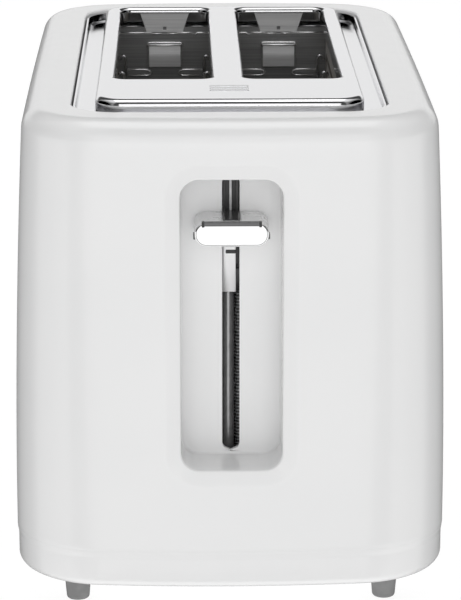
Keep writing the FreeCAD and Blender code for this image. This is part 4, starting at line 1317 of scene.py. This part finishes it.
@dataclass
class Chamber:
    """End panels seen through the slots, bread guides, and the sheet parts round them."""

    slot_centre: float = 25.25
    plate_at: float = 238.0
    rib_pitch: float = 0.7
    panel_half: float = 21.5
    guide_top: float = 171.0
    hook_radius: float = 1.25
    wire_radius: float = 0.62
    wire_count: int = 9
    first_wire: float = 78.0
    last_wire: float = 234.0
    pivot_z: float = 36.0
    inner_x: float = 8.0
    outer_x: float = 42.5
    rails: tuple[float, float, float] = (70.0, 112.0, 164.2)
    box_half: float = 7.65
    box_low: float = 166.4
    box_high: float = 177.7
    box_out: float = 1.5

    def build(self) -> None:
        """Model and settle the chamber's pieces."""
        for name, side in (("right", 1), ("left", -1)):
            keep(self._end_panel(name, side), "housing", "dark_plate", DARK_PLATE)
            # Painted light: the box's fluted face joins the tab and takes its lighter steel.
            tab = join([self._end_tab(name, side), self._painted_light_flutes(name, side)],
                       f"slot_end_tab_{name}")
            keep(tab, "housing", "dark_plate", TAB_STEEL_AND_PAINTED_LIGHT)
            # Painted highlights: bright bars along the end panel's edges, with the rods behind.
            keep(self._end_lines(name, side), "housing", "frame_steel", EDGE_HIGHLIGHT_AND_ROD_STEEL)
            for row in ("inner", "outer"):
                node = f"bread_guide_{name}_{row}"
                body = f"guide_{name}_{row}"
                keep(self._guide(node, row == "inner", side), body, "guide_wire", GUIDE_WIRE, node)
        for node, finish in {
            "rear_end_plate": DARK_PLATE, "front_end_plate": DARK_PLATE,
            "side_reflector_right": REFLECTOR,
            "side_reflector_left": REFLECTOR, "centre_shield": REFLECTOR,
        }.items():
            finish.dress(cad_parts[node])
        for side in ("right", "left"):
            for row in ("inner", "outer"):
                MICA.dress(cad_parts[f"heater_card_{side}_{row}"])
                RIBBON.dress(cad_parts[f"heater_ribbon_{side}_{row}"])

    def _sheet(self, name: str, columns: int, rows: int,
               shape: Callable[[int, int], Vector]) -> bpy.types.Object:
        """Make a pressed sheet that faces the lever end from a grid.

        Args:
            name: The piece's name.
            columns: How many columns of faces it has.
            rows: How many rows of faces it has.
            shape: Gives the place of the vertex at a column and a row.

        Returns:
            The mesh.
        """
        clear_selection()
        bpy.ops.mesh.primitive_grid_add(x_subdivisions=columns, y_subdivisions=rows, size=1.0)
        piece = name_piece(bpy.context.object, name)
        for vertex in piece.data.vertices:
            column = round((vertex.co.x + 0.5) * columns)
            row = round((vertex.co.y + 0.5) * rows)
            vertex.co = shape(column, row) * MM
        thicken(piece, 0.3)
        return shade(piece, 60.0)

    def _end_panel(self, name: str, side: int) -> bpy.types.Object:
        """Ribbed sheet at the slot's far end, with a raised box and two beads."""
        centre = side * self.slot_centre
        plane = behind(self.plate_at) - 0.3
        bottom, top = 140.0, 181.6
        rows = round((top - bottom) / self.rib_pitch) * 2
        ribs = self._sheet(f"end_ribs_{name}", 2, rows, lambda column, row: Vector((
            centre + self.panel_half * (column - 1), plane - 0.16 * (row % 2),
            bottom + (top - bottom) * row / rows)))
        box = block(f"end_box_{name}",
                    Outline(centre - self.box_half, centre + self.box_half, self.box_low,
                            self.box_high,
                            0.9, 4), Facing.END,
                    block_profile(plane + 0.5, plane - self.box_out, 0.1, 0.5))
        pieces = [ribs, box]
        for way in (-1, 1):
            a0, a1 = sorted((centre + way * 5.6, centre + way * 17.6))
            pieces.append(block(f"end_bead_{name}_{way}", Outline(a0, a1, 162.7, 165.8, 1.3, 5),
                                Facing.END,
                                block_profile(plane + 0.4, plane - 1.0, 0.1, 0.6)))
        return join(pieces, f"slot_end_panel_{name}")

    def _painted_light_flutes(self, name: str, side: int) -> bpy.types.Object:
        """Fluted face of the raised box, given the lighter tab steel as painted light so that it
        reads brighter than the box.
        """
        centre = side * self.slot_centre
        plane = behind(self.plate_at) - 0.3
        flutes, levels = 46, 8

        def flute(column: int, row: int) -> Vector:
            """Place of one vertex of the face."""
            share = row / levels
            lean = 0.75 * abs(share - 0.47) / 0.53
            return Vector((centre + (self.box_half - 0.7) * (2 * column / flutes - 1),
                           plane - self.box_out - 0.75 + lean - 0.13 * (column % 2),
                           self.box_low + 0.6 + (self.box_high - self.box_low - 1.2) * share))

        return self._sheet(f"end_painted_light_flutes_{name}", flutes, levels, flute)

    def _end_tab(self, name: str, side: int) -> bpy.types.Object:
        """Tapered tab over the end panel, with a small square hole."""
        centre = side * self.slot_centre
        plane = behind(self.plate_at)
        low, high, half_low, half_high = 182.2, 190.9, 8.0, 10.9
        hole_z, hole_half, spans = 183.9, 0.75, 6

        def edge(grow: float, y: float) -> list[Vector]:
            """The tab's outline."""
            corners = [(-half_low - grow, low - grow), (half_low + grow, low - grow),
                       (half_high + grow, high + grow), (-half_high - grow, high + grow)]
            return around(corners, y)

        def hole(grow: float, y: float) -> list[Vector]:
            """The hole's outline."""
            reach = hole_half + grow
            corners = [(-reach, hole_z - reach), (reach, hole_z - reach), (reach, hole_z + reach),
                       (-reach, hole_z + reach)]
            return around(corners, y)

        def around(corners: Sequence[tuple[float, float]], y: float) -> list[Vector]:
            """Points along the sides between four corners."""
            points = []
            for index, (a, b) in enumerate(corners):
                c, d = corners[(index + 1) % 4]
                for span in range(spans):
                    share = span / spans
                    points.append(Vector((centre + a + (c - a) * share, y, b + (d - b) * share)))
            return points

        skin = Skin(f"slot_end_tab_{name}", edge(0.0, plane + 0.2))
        skin.grow(edge(0.0, plane - 0.1)).grow(edge(-0.15, plane - 0.25))
        skin.grow(hole(0.12, plane - 0.25)).grow(hole(0.0, plane - 0.15)).grow(hole(0.0,
                                                                                    plane + 0.2))
        return skin.done(degrees=30.0)

    def _end_lines(self, name: str, side: int) -> bpy.types.Object:
        """Bright bars at the slot's far end. Those along the end panel's fold, notch, box rims and
        beads are painted highlights of those edges; the rods behind are bars in the same steel.
        """
        centre = side * self.slot_centre
        inward = -side
        plane = behind(self.plate_at) - 0.35

        def run(pairs: Sequence[tuple[float, float]], y: float, radius: float) -> bpy.types.Object:
            """One bright bar through pairs of a distance across and a height."""
            path = [Vector((centre + inward * u, y, z)) for u, z in pairs]
            return bar(f"end_line_{name}", path, radius, 10)

        fold = 181.9
        pieces = [
            run([(-20.5, fold), (-5.8, fold)], plane, 0.4),
            run([(-5.6, fold - 0.35), (-1.2, fold - 0.35)], plane, 0.28),
            run([(1.2, fold - 0.35), (5.6, fold - 0.35)], plane, 0.28),
            run([(5.8, fold), (12.0, fold)], plane, 0.4),
            run([(13.0, fold - 1.5), (13.9, fold - 0.4), (14.6, fold), (20.5, fold)], plane, 0.38),
        ]
        rim = [(-8.0, 176.5), (-7.6, 177.3), (-6.9, 177.8)]
        rim += [(-u, z) for u, z in reversed(rim)]
        pieces.append(run(rim, plane - 1.55, 0.42))
        pieces.append(run([(-7.1, 176.7), (7.1, 176.7)], plane - 2.0, 0.4))
        for way in (-1, 1):
            pieces.append(run([(way * 10.2, 187.2), (way * 20.5, 187.2)], plane + 5.5, 0.55))
            pieces.append(run([(way * 9.2, 184.4), (way * 20.5, 184.4)], plane + 2.6, 0.3))
            bead = [(way * 17.3, 165.5), (way * 8.0, 165.5), (way * 7.0, 165.1), (way * 6.1, 164.2),
                    (way * 6.1, 163.9), (way * 6.9, 163.2), (way * 7.8, 162.9), (way * 17.3, 162.9)]
            pieces.append(run(bead, plane - 0.75, 0.33))
        return join(pieces, f"slot_end_edges_{name}")

    def _guide(self, node: str, inner: bool, side: int) -> bpy.types.Object:
        """Wire grille on its pivot bar, whose every second wire ends in a hook."""
        low, high = node_box(node)
        x = side * (self.inner_x if inner else self.outer_x)
        lean = -side if inner else side
        pitch = (self.last_wire - self.first_wire) / (self.wire_count - 1)
        radius = self.hook_radius

        def upright(distance: float, top: float, hooked: bool) -> bpy.types.Object:
            """One upright wire, with its hook if it has one."""
            y = behind(distance)
            path = [Vector((x, y, self.pivot_z)), Vector((x, y, top))]
            if hooked:
                for step in range(1, 9):
                    angle = math.radians(200.0 * step / 8)
                    path.append(Vector((x + lean * radius * (1 - math.cos(angle)), y,
                                        top + radius * math.sin(angle))))
            return bar(f"{node}_wire", path, self.wire_radius, 10)

        hooked = upright(self.first_wire, self.guide_top, True)
        repeat(hooked, (self.wire_count + 1) // 2, Vector((0.0, 2 * pitch, 0.0)))
        plain = upright(self.first_wire + pitch, self.rails[-1] + 0.4, False)
        repeat(plain, self.wire_count // 2, Vector((0.0, 2 * pitch, 0.0)))
        pieces = [hooked, plain]
        pieces.append(bar(f"{node}_pivot", [Vector((x, low.y, self.pivot_z)),
                                            Vector((x, high.y, self.pivot_z))], 1.1, 12))
        start, end = behind(self.first_wire - 3.0), behind(237.0)
        for z in self.rails:
            pieces.append(bar(f"{node}_rail", [Vector((x, start, z)), Vector((x, end, z))], 0.85,
                              10))
        return join(pieces, f"{node}_grille")


# ---------------------------------------------------------------- lever and carriage

@dataclass
class Lever:
    """Grip, its bright cap, the shutter behind it, the slider and what it runs on."""

    half: float = 13.8
    low: float = 143.9
    high: float = 153.2
    end_radius: float = 4.5
    face: float = 2.6
    cap_depth: float = 2.4
    # Size of the strip of painted reflection along the cap's top edge.
    reflection_strip_half: float = 10.8
    reflection_strip_depth: float = 2.2
    reflection_strip_height: float = 1.45
    shutter_face: float = 22.2
    shutter_back: float = 24.2
    rod: tuple[float, float, float] = (-0.9, 33.5, 2.3)
    pin: tuple[float, float, float] = (4.2, 39.5, 1.9)
    spring_low: float = 22.0
    spring_high: float = 148.0
    spring_turns: int = 94
    spring_wire: float = 0.27
    spring_mean: float = 2.35
    travel_keep: float = 0.365
    strip_half: float = 2.95
    shutter_low: float = 147.6
    shutter_high: float = 166.9

    def build(self) -> None:
        """Model and settle every piece."""
        keep(softened("lever_knob", "lever_grip", 0.7, 40.0, 3), "carriage", "grip_white",
             WHITE_GRIP)
        outline = Outline(-self.half, self.half, self.low, self.high, self.end_radius, 10)
        cap = block("lever_cap", outline, Facing.END,
                    block_profile(behind(self.face + self.cap_depth), behind(self.face), 0.15, 0.9,
                                  5))
        keep(cap, "carriage", "bright_cap", BRIGHT_CAP, "knob_cap")
        # Painted reflection of the cap's rounded top edge: a dark grey strip with black square
        # ends.
        keep(self._painted_reflection_strip(), "carriage", "black_moulding", REFLECTION_STRIP_AND_TAB_GREY)
        keep(self._reflection_strip_ends(), "carriage", "black_moulding", BLACK_MOULDING)
        keep(self._end_tabs(), "carriage", "grip_white", REFLECTION_STRIP_AND_TAB_GREY)
        keep(self._shutter(), "carriage", "black_moulding", BLACK_MOULDING, "slot_shutter")
        tongue = join([
            block("tongue_top", Outline(-self.strip_half, self.strip_half, behind(6.8),
                                        behind(22.2), 0.3, 3), Facing.PLAN,
                  block_profile(145.8, self.high + 0.15, 0.2, 0.3, 2)),
            block("tongue_end", Outline(-self.strip_half, self.strip_half, behind(21.0),
                                        behind(26.0), 0.3, 3), Facing.PLAN,
                  block_profile(145.8, 150.2, 0.2, 0.2, 2)),
        ], "lever_tongue")
        keep(tongue, "carriage", "black_moulding", BLACK_MOULDING, "lever_arm")
        # Painted shade: a thin black patch on the slider strip's face stands for the shade inside
        # the small slot in the strip under the grip.
        notch = block("strip_slot_painted_shade", Outline(-1.9, 1.95, 135.5, 137.0, 0.2, 2), Facing.END,
                      block_profile(behind(26.2), behind(25.92), 0.05, 0.05, 1))
        keep(notch, "carriage", "black_moulding", BLACK_MOULDING)
        # Painted highlight: a thin grey steel strip on the middle rib between the shutter's grooves
        # makes it read lighter than the black frame.
        rib = block("shutter_rib_painted_highlight", Outline(-0.6, 0.35, 153.0, 165.8, 0.45, 4), Facing.END,
                    block_profile(behind(self.shutter_face + 0.1), behind(self.shutter_face - 0.12),
                                  0.05, 0.1, 2))
        keep(rib, "carriage", "frame_steel", ROD_STEEL)
        for node, name, edge, slot, finish in (
            ("lever_bracket", "slider_strip", 0.15, "bright_strip", BRIGHT_STRIP),
            ("carriage_block", "slider_block", 0.35, "black_moulding", BLACK_MOULDING),
            ("carriage_plate", "carriage_cross", 0.2, "frame_steel", FRAME_STEEL),
            ("armature_plate", "latch_armature", 0.3, "soft_iron", SOFT_IRON),
            ("bread_rack_left", "bread_support_left", 0.15, "frame_steel", FRAME_STEEL),
            ("bread_rack_right", "bread_support_right", 0.15, "frame_steel", FRAME_STEEL),
        ):
            keep(softened(node, name, edge, 40.0), "carriage", slot, finish)
        keep(softened("rod_bracket", "rod_angle", 0.2, 40.0), "housing", "frame_steel", FRAME_STEEL)
        for node, (x, distance, radius) in (("guide_rod", self.rod), ("spring_pin", self.pin)):
            low, high = node_box(node)
            rod = block(f"{node}_ground", round_outline(x, behind(distance), radius, 8),
                        Facing.PLAN,
                        block_profile(low.z, high.z, 0.4, 0.4, 3))
            keep(rod, "housing", "rod_steel", ROD_STEEL, node)
        spring = keep(self._spring(), "housing", "spring_steel", SPRING_STEEL, "lift_spring")
        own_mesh(spring)

    def _painted_reflection_strip(self) -> bpy.types.Object:
        """Painted reflection: a dark grey strip along the cap's upper front edge, standing for the
        reflection in its rounded edge.
        """
        outline = Outline(-self.reflection_strip_half, self.reflection_strip_half, self.high - self.reflection_strip_height,
                          self.high + 0.1, 0.3, 3)
        return block("lever_painted_reflection_strip", outline, Facing.END,
                     block_profile(behind(self.face + self.reflection_strip_depth), behind(self.face - 0.06),
                                   0.05, 0.25, 3))

    def _reflection_strip_ends(self) -> bpy.types.Object:
        """Painted reflection: square black ends of the reflection strip."""
        stops = []
        for way in (-1, 1):
            a0, a1 = sorted((way * (self.reflection_strip_half - 0.7), way * (self.reflection_strip_half + 0.35)))
            stops.append(block(f"lever_reflection_strip_end_{way}",
                               Outline(a0, a1, self.high - self.reflection_strip_height - 0.3,
                                                            self.high + 0.25, 0.2, 2), Facing.END,
                               block_profile(behind(self.face + self.reflection_strip_depth),
                                             behind(self.face - 0.1),
                                             0.05, 0.12, 2)))
        return join(stops, "lever_reflection_strip_ends")

    def _end_tabs(self) -> bpy.types.Object:
        """Small tongues at both ends of the grip, where it clips to the cap."""
        tabs = []
        for way in (-1, 1):
            a0, a1 = sorted((way * (self.half - 0.4), way * (self.half + 0.45)))
            tabs.append(block(f"lever_tab_{way}", Outline(a0, a1, 146.2, 148.2, 0.35, 3),
                              Facing.END,
                              block_profile(behind(9.0), behind(5.2), 0.1, 0.2, 2)))
        return join(tabs, "lever_end_tabs")

    def _shutter(self) -> bpy.types.Object:
        """Black strip with two upright grooves, which closes the slot above the lever."""
        face, back = behind(self.shutter_face), behind(self.shutter_back)
        outline = Outline(-self.strip_half, self.strip_half, self.shutter_low, self.shutter_high,
                          2.6, 6)
        skin = Skin("shutter_strip", outline.ring(Facing.END, -0.15, face))
        skin.sweep(outline, Facing.END,
                   quarter((-0.15, face), (0.0, face + 0.15), True, 3) + [(0.0, back)]).cap()
        for a0, a1 in ((-2.05, -0.95), (0.7, 1.7)):
            groove = Outline(a0, a1, 152.4, 165.2, 0.4, 4)
            skin.start(groove.ring(Facing.END, 0.1, face))
            skin.sweep(groove, Facing.END, [(0.0, face + 0.1), (0.0, face + 1.0)]).cap()
        return skin.fill_level(face, 1).done(degrees=40.0)

    def _spring(self) -> bpy.types.Object:
        """Close-wound lift spring about its pin."""
        clear_selection()
        bpy.ops.mesh.primitive_circle_add(vertices=8, radius=self.spring_wire * MM,
                                          rotation=(math.pi / 2, 0.0, 0.0))
        piece = name_piece(bpy.context.object, "lift_spring_coil")
        bpy.ops.object.transform_apply(location=False, rotation=True, scale=False)
        with editing(piece):
            bpy.ops.transform.translate(value=(self.spring_mean * MM, 0.0, 0.0))
        height = self.spring_high - self.spring_low - 2 * self.spring_wire
        apply_modifier(piece, "SCREW", steps=20, render_steps=20, iterations=self.spring_turns,
                       screw_offset=height / self.spring_turns * MM, axis="Z",
                       use_merge_vertices=False)
        x, distance, _ = self.pin
        with editing(piece):
            bpy.ops.transform.translate(value=(x * MM, behind(distance) * MM,
                                               (self.spring_low + self.spring_wire) * MM))
            bpy.ops.mesh.select_mode(type="EDGE")
            bpy.ops.mesh.select_all(action="DESELECT")
            bpy.ops.mesh.select_non_manifold()
            bpy.ops.mesh.fill_holes(sides=8)
            bpy.ops.mesh.select_all(action="SELECT")
            bpy.ops.mesh.normals_make_consistent(inside=False)
        return shade(piece, 60.0)


# ---------------------------------------------------------------- controls

@dataclass
class Controls:
    """Panel in the side pocket: browning dial, three buttons and their lights."""

    panel_x: float = -75.5
    dial_at: float = 72.0
    dial_z: float = 70.0
    dial_radius: float = 17.0
    scallops: int = 24
    buttons: tuple[tuple[str, float], ...] = (("stop", 104.0), ("reheat", 120.0),
                                              ("defrost", 136.0))
    button_at: float = 67.0
    lens_at: float = 90.0
    scale_bars: int = 7
    scale_end: float = 135.0

    def build(self) -> None:
        """Model and settle every piece."""
        keep(softened("control_panel", "pocket_panel", 0.3, 40.0), "housing", "panel_grey",
             PANEL_GREY)
        keep(self._scale(), "housing", "component_black", PRINT_DARK)
        keep(self._dial(), "dial", "dial_white", WHITE_GRIP, "browning_dial")
        pointer = block("dial_pointer", self._spoke(15.0, 11.0, 0.55), Facing.SIDE,
                        block_profile(-81.8, -82.12, 0.02, 0.08, 2))
        keep(pointer, "dial", "component_black", PRINT_DARK)
        for count, (name, z) in enumerate(self.buttons, 1):
            body = f"{name}_button"
            keep(self._button(body, z), body, "button_white", WHITE_GRIP, body)
            keep(self._marks(body, z, count), body, "component_black", PRINT_DARK)
        lenses = []
        for name, z in self.buttons:
            lenses.append(block(f"{name}_lens", round_outline(behind(self.lens_at), z, 1.55, 6),
                                Facing.SIDE,
                                block_profile(-73.5, -76.1, 0.1, 0.55, 4)))
        keep(join(lenses, "indicator_domes"), "housing", "lens_blue", LENS_BLUE, "indicator_lenses")

    def _spoke(self, far: float, near: float, half: float) -> Outline:
        """Narrow outline along the dial's grip, towards the lever end."""
        y = behind(self.dial_at)
        return Outline(y - far, y - near, self.dial_z - half, self.dial_z + half, half * 0.9, 4)

    def _scale(self) -> bpy.types.Object:
        """Seven raised bars round the dial, longer towards the darker end."""
        bars = []
        y = behind(self.dial_at)
        for index in range(self.scale_bars):
            turn = 2 * self.scale_end * index / (self.scale_bars - 1)
            angle = math.radians(-self.scale_end + turn)
            near, far = self.dial_radius + 2.2, self.dial_radius + 3.4 + 0.35 * index
            mark = block(f"scale_bar_{index}",
                         Outline(y - 0.55, y + 0.55, self.dial_z + near, self.dial_z + far,
                                                       0.5, 4), Facing.SIDE,
                         block_profile(self.panel_x + 0.2, self.panel_x - 0.25, 0.05, 0.1, 2))
            with editing(mark):
                bpy.ops.transform.rotate(value=angle, orient_axis="X", orient_type="GLOBAL",
                                         center_override=(self.panel_x * MM, y * MM,
                                                          self.dial_z * MM))
            bars.append(mark)
        return join(bars, "dial_scale")

    def _dial(self) -> bpy.types.Object:
        """Scalloped disc with a raised grip across it."""
        y0, z0 = behind(self.dial_at), self.dial_z
        points = self.scallops * 6

        def ring(grow: float, x: float) -> list[Vector]:
            """The scalloped outline."""
            found = []
            for index in range(points):
                angle = 2 * math.pi * index / points
                wave = 0.28 * (1 - math.cos(angle * self.scallops)) if grow > -1.4 else 0.0
                radius = self.dial_radius + grow - wave
                found.append(Vector((x, y0 + radius * math.cos(angle),
                                     z0 + radius * math.sin(angle))))
            return found

        skin = Skin("dial_disc", ring(-0.6, -76.0)).cap()
        skin.grow(ring(-0.3, -76.0)).grow(ring(0.0, -76.3)).grow(ring(0.0, -77.5))
        for grow, x in quarter((0.0, -77.5), (-1.0, -78.2), False, 4):
            skin.grow(ring(grow, x))
        skin.grow(ring(-1.6, -78.2)).cap()
        disc = skin.done(degrees=45.0)
        grip = block("dial_grip", Outline(y0 - 15.4, y0 + 15.4, z0 - 3.0, z0 + 3.0, 2.9, 8),
                     Facing.SIDE,
                     [(0.6, -77.9), (0.6, -78.25)] + quarter((0.6, -78.25), (0.0, -78.9), True, 4)
                     + [(0.0, -81.0)] + quarter((0.0, -81.0), (-0.9, -81.95), False, 4)
                     + [(-1.2, -81.95)])
        hub = block("dial_hub", round_outline(y0, z0, 3.2, 6), Facing.SIDE,
                    block_profile(-74.2, -76.1, 0.1, 0.05, 1))
        return join([disc, grip, hub], "dial_knob")

    def _button(self, body: str, z: float) -> bpy.types.Object:
        """Button with a softly rounded face and a stem."""
        y = behind(self.button_at)
        outline = Outline(y - 13.0, y + 13.0, z - 4.5, z + 4.5, 3.0, 8)
        face = [(0.0, -78.0)] + quarter((0.0, -78.0), (-1.4, -79.2), False, 5)
        cap = block(f"{body}_cap", outline, Facing.SIDE,
                    [(-0.4, -71.5), (-0.2, -71.5), (0.0, -71.7)] + face
                    + [(-2.4, -79.4), (-3.4, -79.5)])
        stem = block(f"{body}_stem", round_outline(y, z, 2.0, 6), Facing.SIDE,
                     block_profile(-71.8, -66.9, 0.05, 0.2, 2))
        return join([cap, stem], f"{body}_moulding")

    def _marks(self, body: str, z: float, count: int) -> bpy.types.Object:
        """One to three raised dots that tell the buttons apart by touch."""
        y = behind(self.button_at)
        dots = []
        for index in range(count):
            centre = y + 3.2 * (index - (count - 1) / 2)
            dots.append(block(f"{body}_dot_{index}", round_outline(centre, z, 0.85, 5), Facing.SIDE,
                              block_profile(-79.3, -79.75, 0.05, 0.2, 2)))
        return join(dots, f"{body}_dots")


# ---------------------------------------------------------------- everything inside

@dataclass
class Works:
    """Remaining parts, which keep their CAD shapes or get broken edges."""

    def build(self) -> None:
        """Settle softened copies and dress what is shown as it is."""
        for node, name, edge, body, slot, finish in (
            ("crumb_tray_front", "tray_handle", 0.6, "tray", "white_gloss", WHITE_GLOSS),
            ("crumb_tray", "tray_pan", 0.15, "tray", "tray_steel", TRAY_STEEL),
            ("terminal_block", "mains_terminals", 0.4, "housing", "white_insulator", INSULATOR),
            ("board_components", "board_parts", 0.3, "housing", "component_black", PART_BLACK),
            ("push_switches", "switch_bodies", 0.2, "housing", "component_black", PART_BLACK),
            ("magnet_bracket", "latch_base", 0.2, "housing", "frame_steel", FRAME_STEEL),
            ("contact_block", "contact_carrier", 0.3, "housing", "white_insulator", INSULATOR),
        ):
            keep(softened(node, name, edge, 40.0), body, slot, finish)
        for finish, nodes in (
            (SCREW_STEEL, ("base_screws", "frame_screws")),
            (SOFT_IRON, ("magnet_core",)),
            (COPPER, ("magnet_coil",)),
            (BRASS, ("power_contacts",)),
            (INSULATOR, ("dial_shaft",)),
            (PART_BLACK, ("potentiometer",)),
            (BOARD_GREEN, ("control_board",)),
        ):
            for node in nodes:
                finish.dress(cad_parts[node])


# ---------------------------------------------------------------- studio

@dataclass
class Studio:
    """Floor, soft light and the camera."""

    lens: float = 174.0
    eye: tuple[float, float, float] = (-0.0201, -1.1729, 0.4102)
    pitch: float = 15.44
    yaw: float = -1.083
    sky_level: float = 0.88
    side_drop: float = 0.9
    front_drop: float = 0.55
    top_power: float = 4.8
    front_power: float = 8.0

    def build(self) -> None:
        """Set the light, the floor and the camera."""
        scene = bpy.context.scene
        scene.view_settings.view_transform = "Standard"
        world = bpy.data.worlds.new("studio_air")
        scene.world = world
        self._sky(world)
        self._floor()
        upright = (math.radians(90.0), 0.0, 0.0)
        self._card("front_card", (0.0, -2.2, 2.9), (4.0, 5.3), upright, 0.06)
        self._card("back_card", (0.0, 2.2, 3.1), (6.0, 4.0), upright, 0.06)
        self._lamp("top_light", (0.0, 0.0, 1.6), 1.0, self.top_power, (0.0, 0.0, 0.0))
        self._lamp("front_light", (0.0, -2.1, 0.7), 1.5, self.front_power,
                   (math.radians(76.0), 0.0, 0.0))
        camera = bpy.data.cameras.new("camera")
        camera.lens = self.lens
        camera.sensor_width = 36.0
        camera.clip_end = 50.0
        holder = bpy.data.objects.new("camera", camera)
        scene.collection.objects.link(holder)
        holder.location = self.eye
        holder.rotation_euler = (math.radians(90.0 - self.pitch), 0.0, math.radians(self.yaw))
        scene.camera = holder

    def _sky(self, world: bpy.types.World) -> None:
        """Even white air, dimmer to both sides and high up in front.

        Below the horizon only reflections see it, because the floor hides it from everything else.
        """
        graph = Graph(world)
        way = graph.node("ShaderNodeTexCoord", output="Generated")
        split = graph.node("ShaderNodeSeparateXYZ", inputs={0: way}).socket.node.outputs
        x, y, z = (Wire(graph, split[axis]) for axis in range(3))
        side = (x * x).between(0.12, 0.8)
        front = (y * z * -1.0).between(0.12, 0.45)
        above = (side * -self.side_drop) + (front * -self.front_drop) + self.sky_level
        near_dark = y.between(-0.9, -0.84) * (1.0 - y.between(-0.68, -0.6))
        under = 1.1 - near_dark * 0.9 - y.between(0.05, 0.35) * 1.05
        low = (z * -1.0).above(0.0)
        level = above * (1.0 - low) + under * low
        back = graph.node("ShaderNodeBackground",
                          inputs={"Color": (1.0, 1.0, 1.0, 1.0), "Strength": level})
        output = graph.tree.nodes.new("ShaderNodeOutputWorld")
        graph.tree.links.new(back.socket, output.inputs[0])

    @staticmethod
    def _plain(name: str, level: float, shine: float) -> bpy.types.Material:
        """A plain material that may give off its own even light."""
        material = bpy.data.materials.new(name)
        graph = Surface(material)
        shade_share = graph.noise(900.0, 1.0).between(0.0, 1.0)
        colour = graph.blend(shade_share, grey(level), grey(level * 0.995))
        glow = graph.blend(shade_share, grey(shine), grey(shine * 0.998))
        graph.set(Base_Color=colour, Roughness=0.9, Emission_Color=glow, Emission_Strength=1.0)
        return material

    def _floor(self) -> None:
        """Wide pale floor, which reflections do not see."""
        clear_selection()
        bpy.ops.mesh.primitive_plane_add(size=30.0)
        floor = name_piece(bpy.context.object, "studio_floor")
        floor.data.materials.append(self._plain("studio_white", 0.12, 0.9))
        floor.visible_glossy = False

    def _card(self, name: str, place: tuple[float, float, float], size: tuple[float, float],
              turn: tuple[float, float, float], level: float) -> None:
        """Grey card that is seen only in reflections."""
        clear_selection()
        bpy.ops.mesh.primitive_plane_add(size=1.0, location=place, rotation=turn)
        card = name_piece(bpy.context.object, name)
        card.scale = (*size, 1.0)
        bpy.ops.object.transform_apply(location=False, rotation=False, scale=True)
        card.data.materials.append(self._plain(f"{name}_grey", level, 0.0))
        card.visible_camera = False
        card.visible_diffuse = False
        card.visible_shadow = False

    @staticmethod
    def _lamp(name: str, place: tuple[float, float, float], size: float, power: float,
              turn: tuple[float, float, float]) -> None:
        """Square area light."""
        light = bpy.data.lights.new(name, "AREA")
        light.size = size
        light.energy = power
        holder = bpy.data.objects.new(name, light)
        bpy.context.scene.collection.objects.link(holder)
        holder.location = place
        holder.rotation_euler = turn


# ---------------------------------------------------------------- the whole toaster

@dataclass
class Toaster:
    """Every sub-assembly."""

    housing: Housing = field(default_factory=Housing)
    deck: TopDeck = field(default_factory=TopDeck)
    chamber: Chamber = field(default_factory=Chamber)
    lever: Lever = field(default_factory=Lever)
    controls: Controls = field(default_factory=Controls)
    works: Works = field(default_factory=Works)

    def build(self) -> None:
        """Build them one after another."""
        for part in (self.housing, self.deck, self.chamber, self.lever, self.controls, self.works):
            part.build()
            log.info("%s is built", type(part).__name__)


def main() -> None:
    """Build the toaster and its studio."""
    Toaster().build()
    Studio().build()


if __name__ == "__main__":
    main()
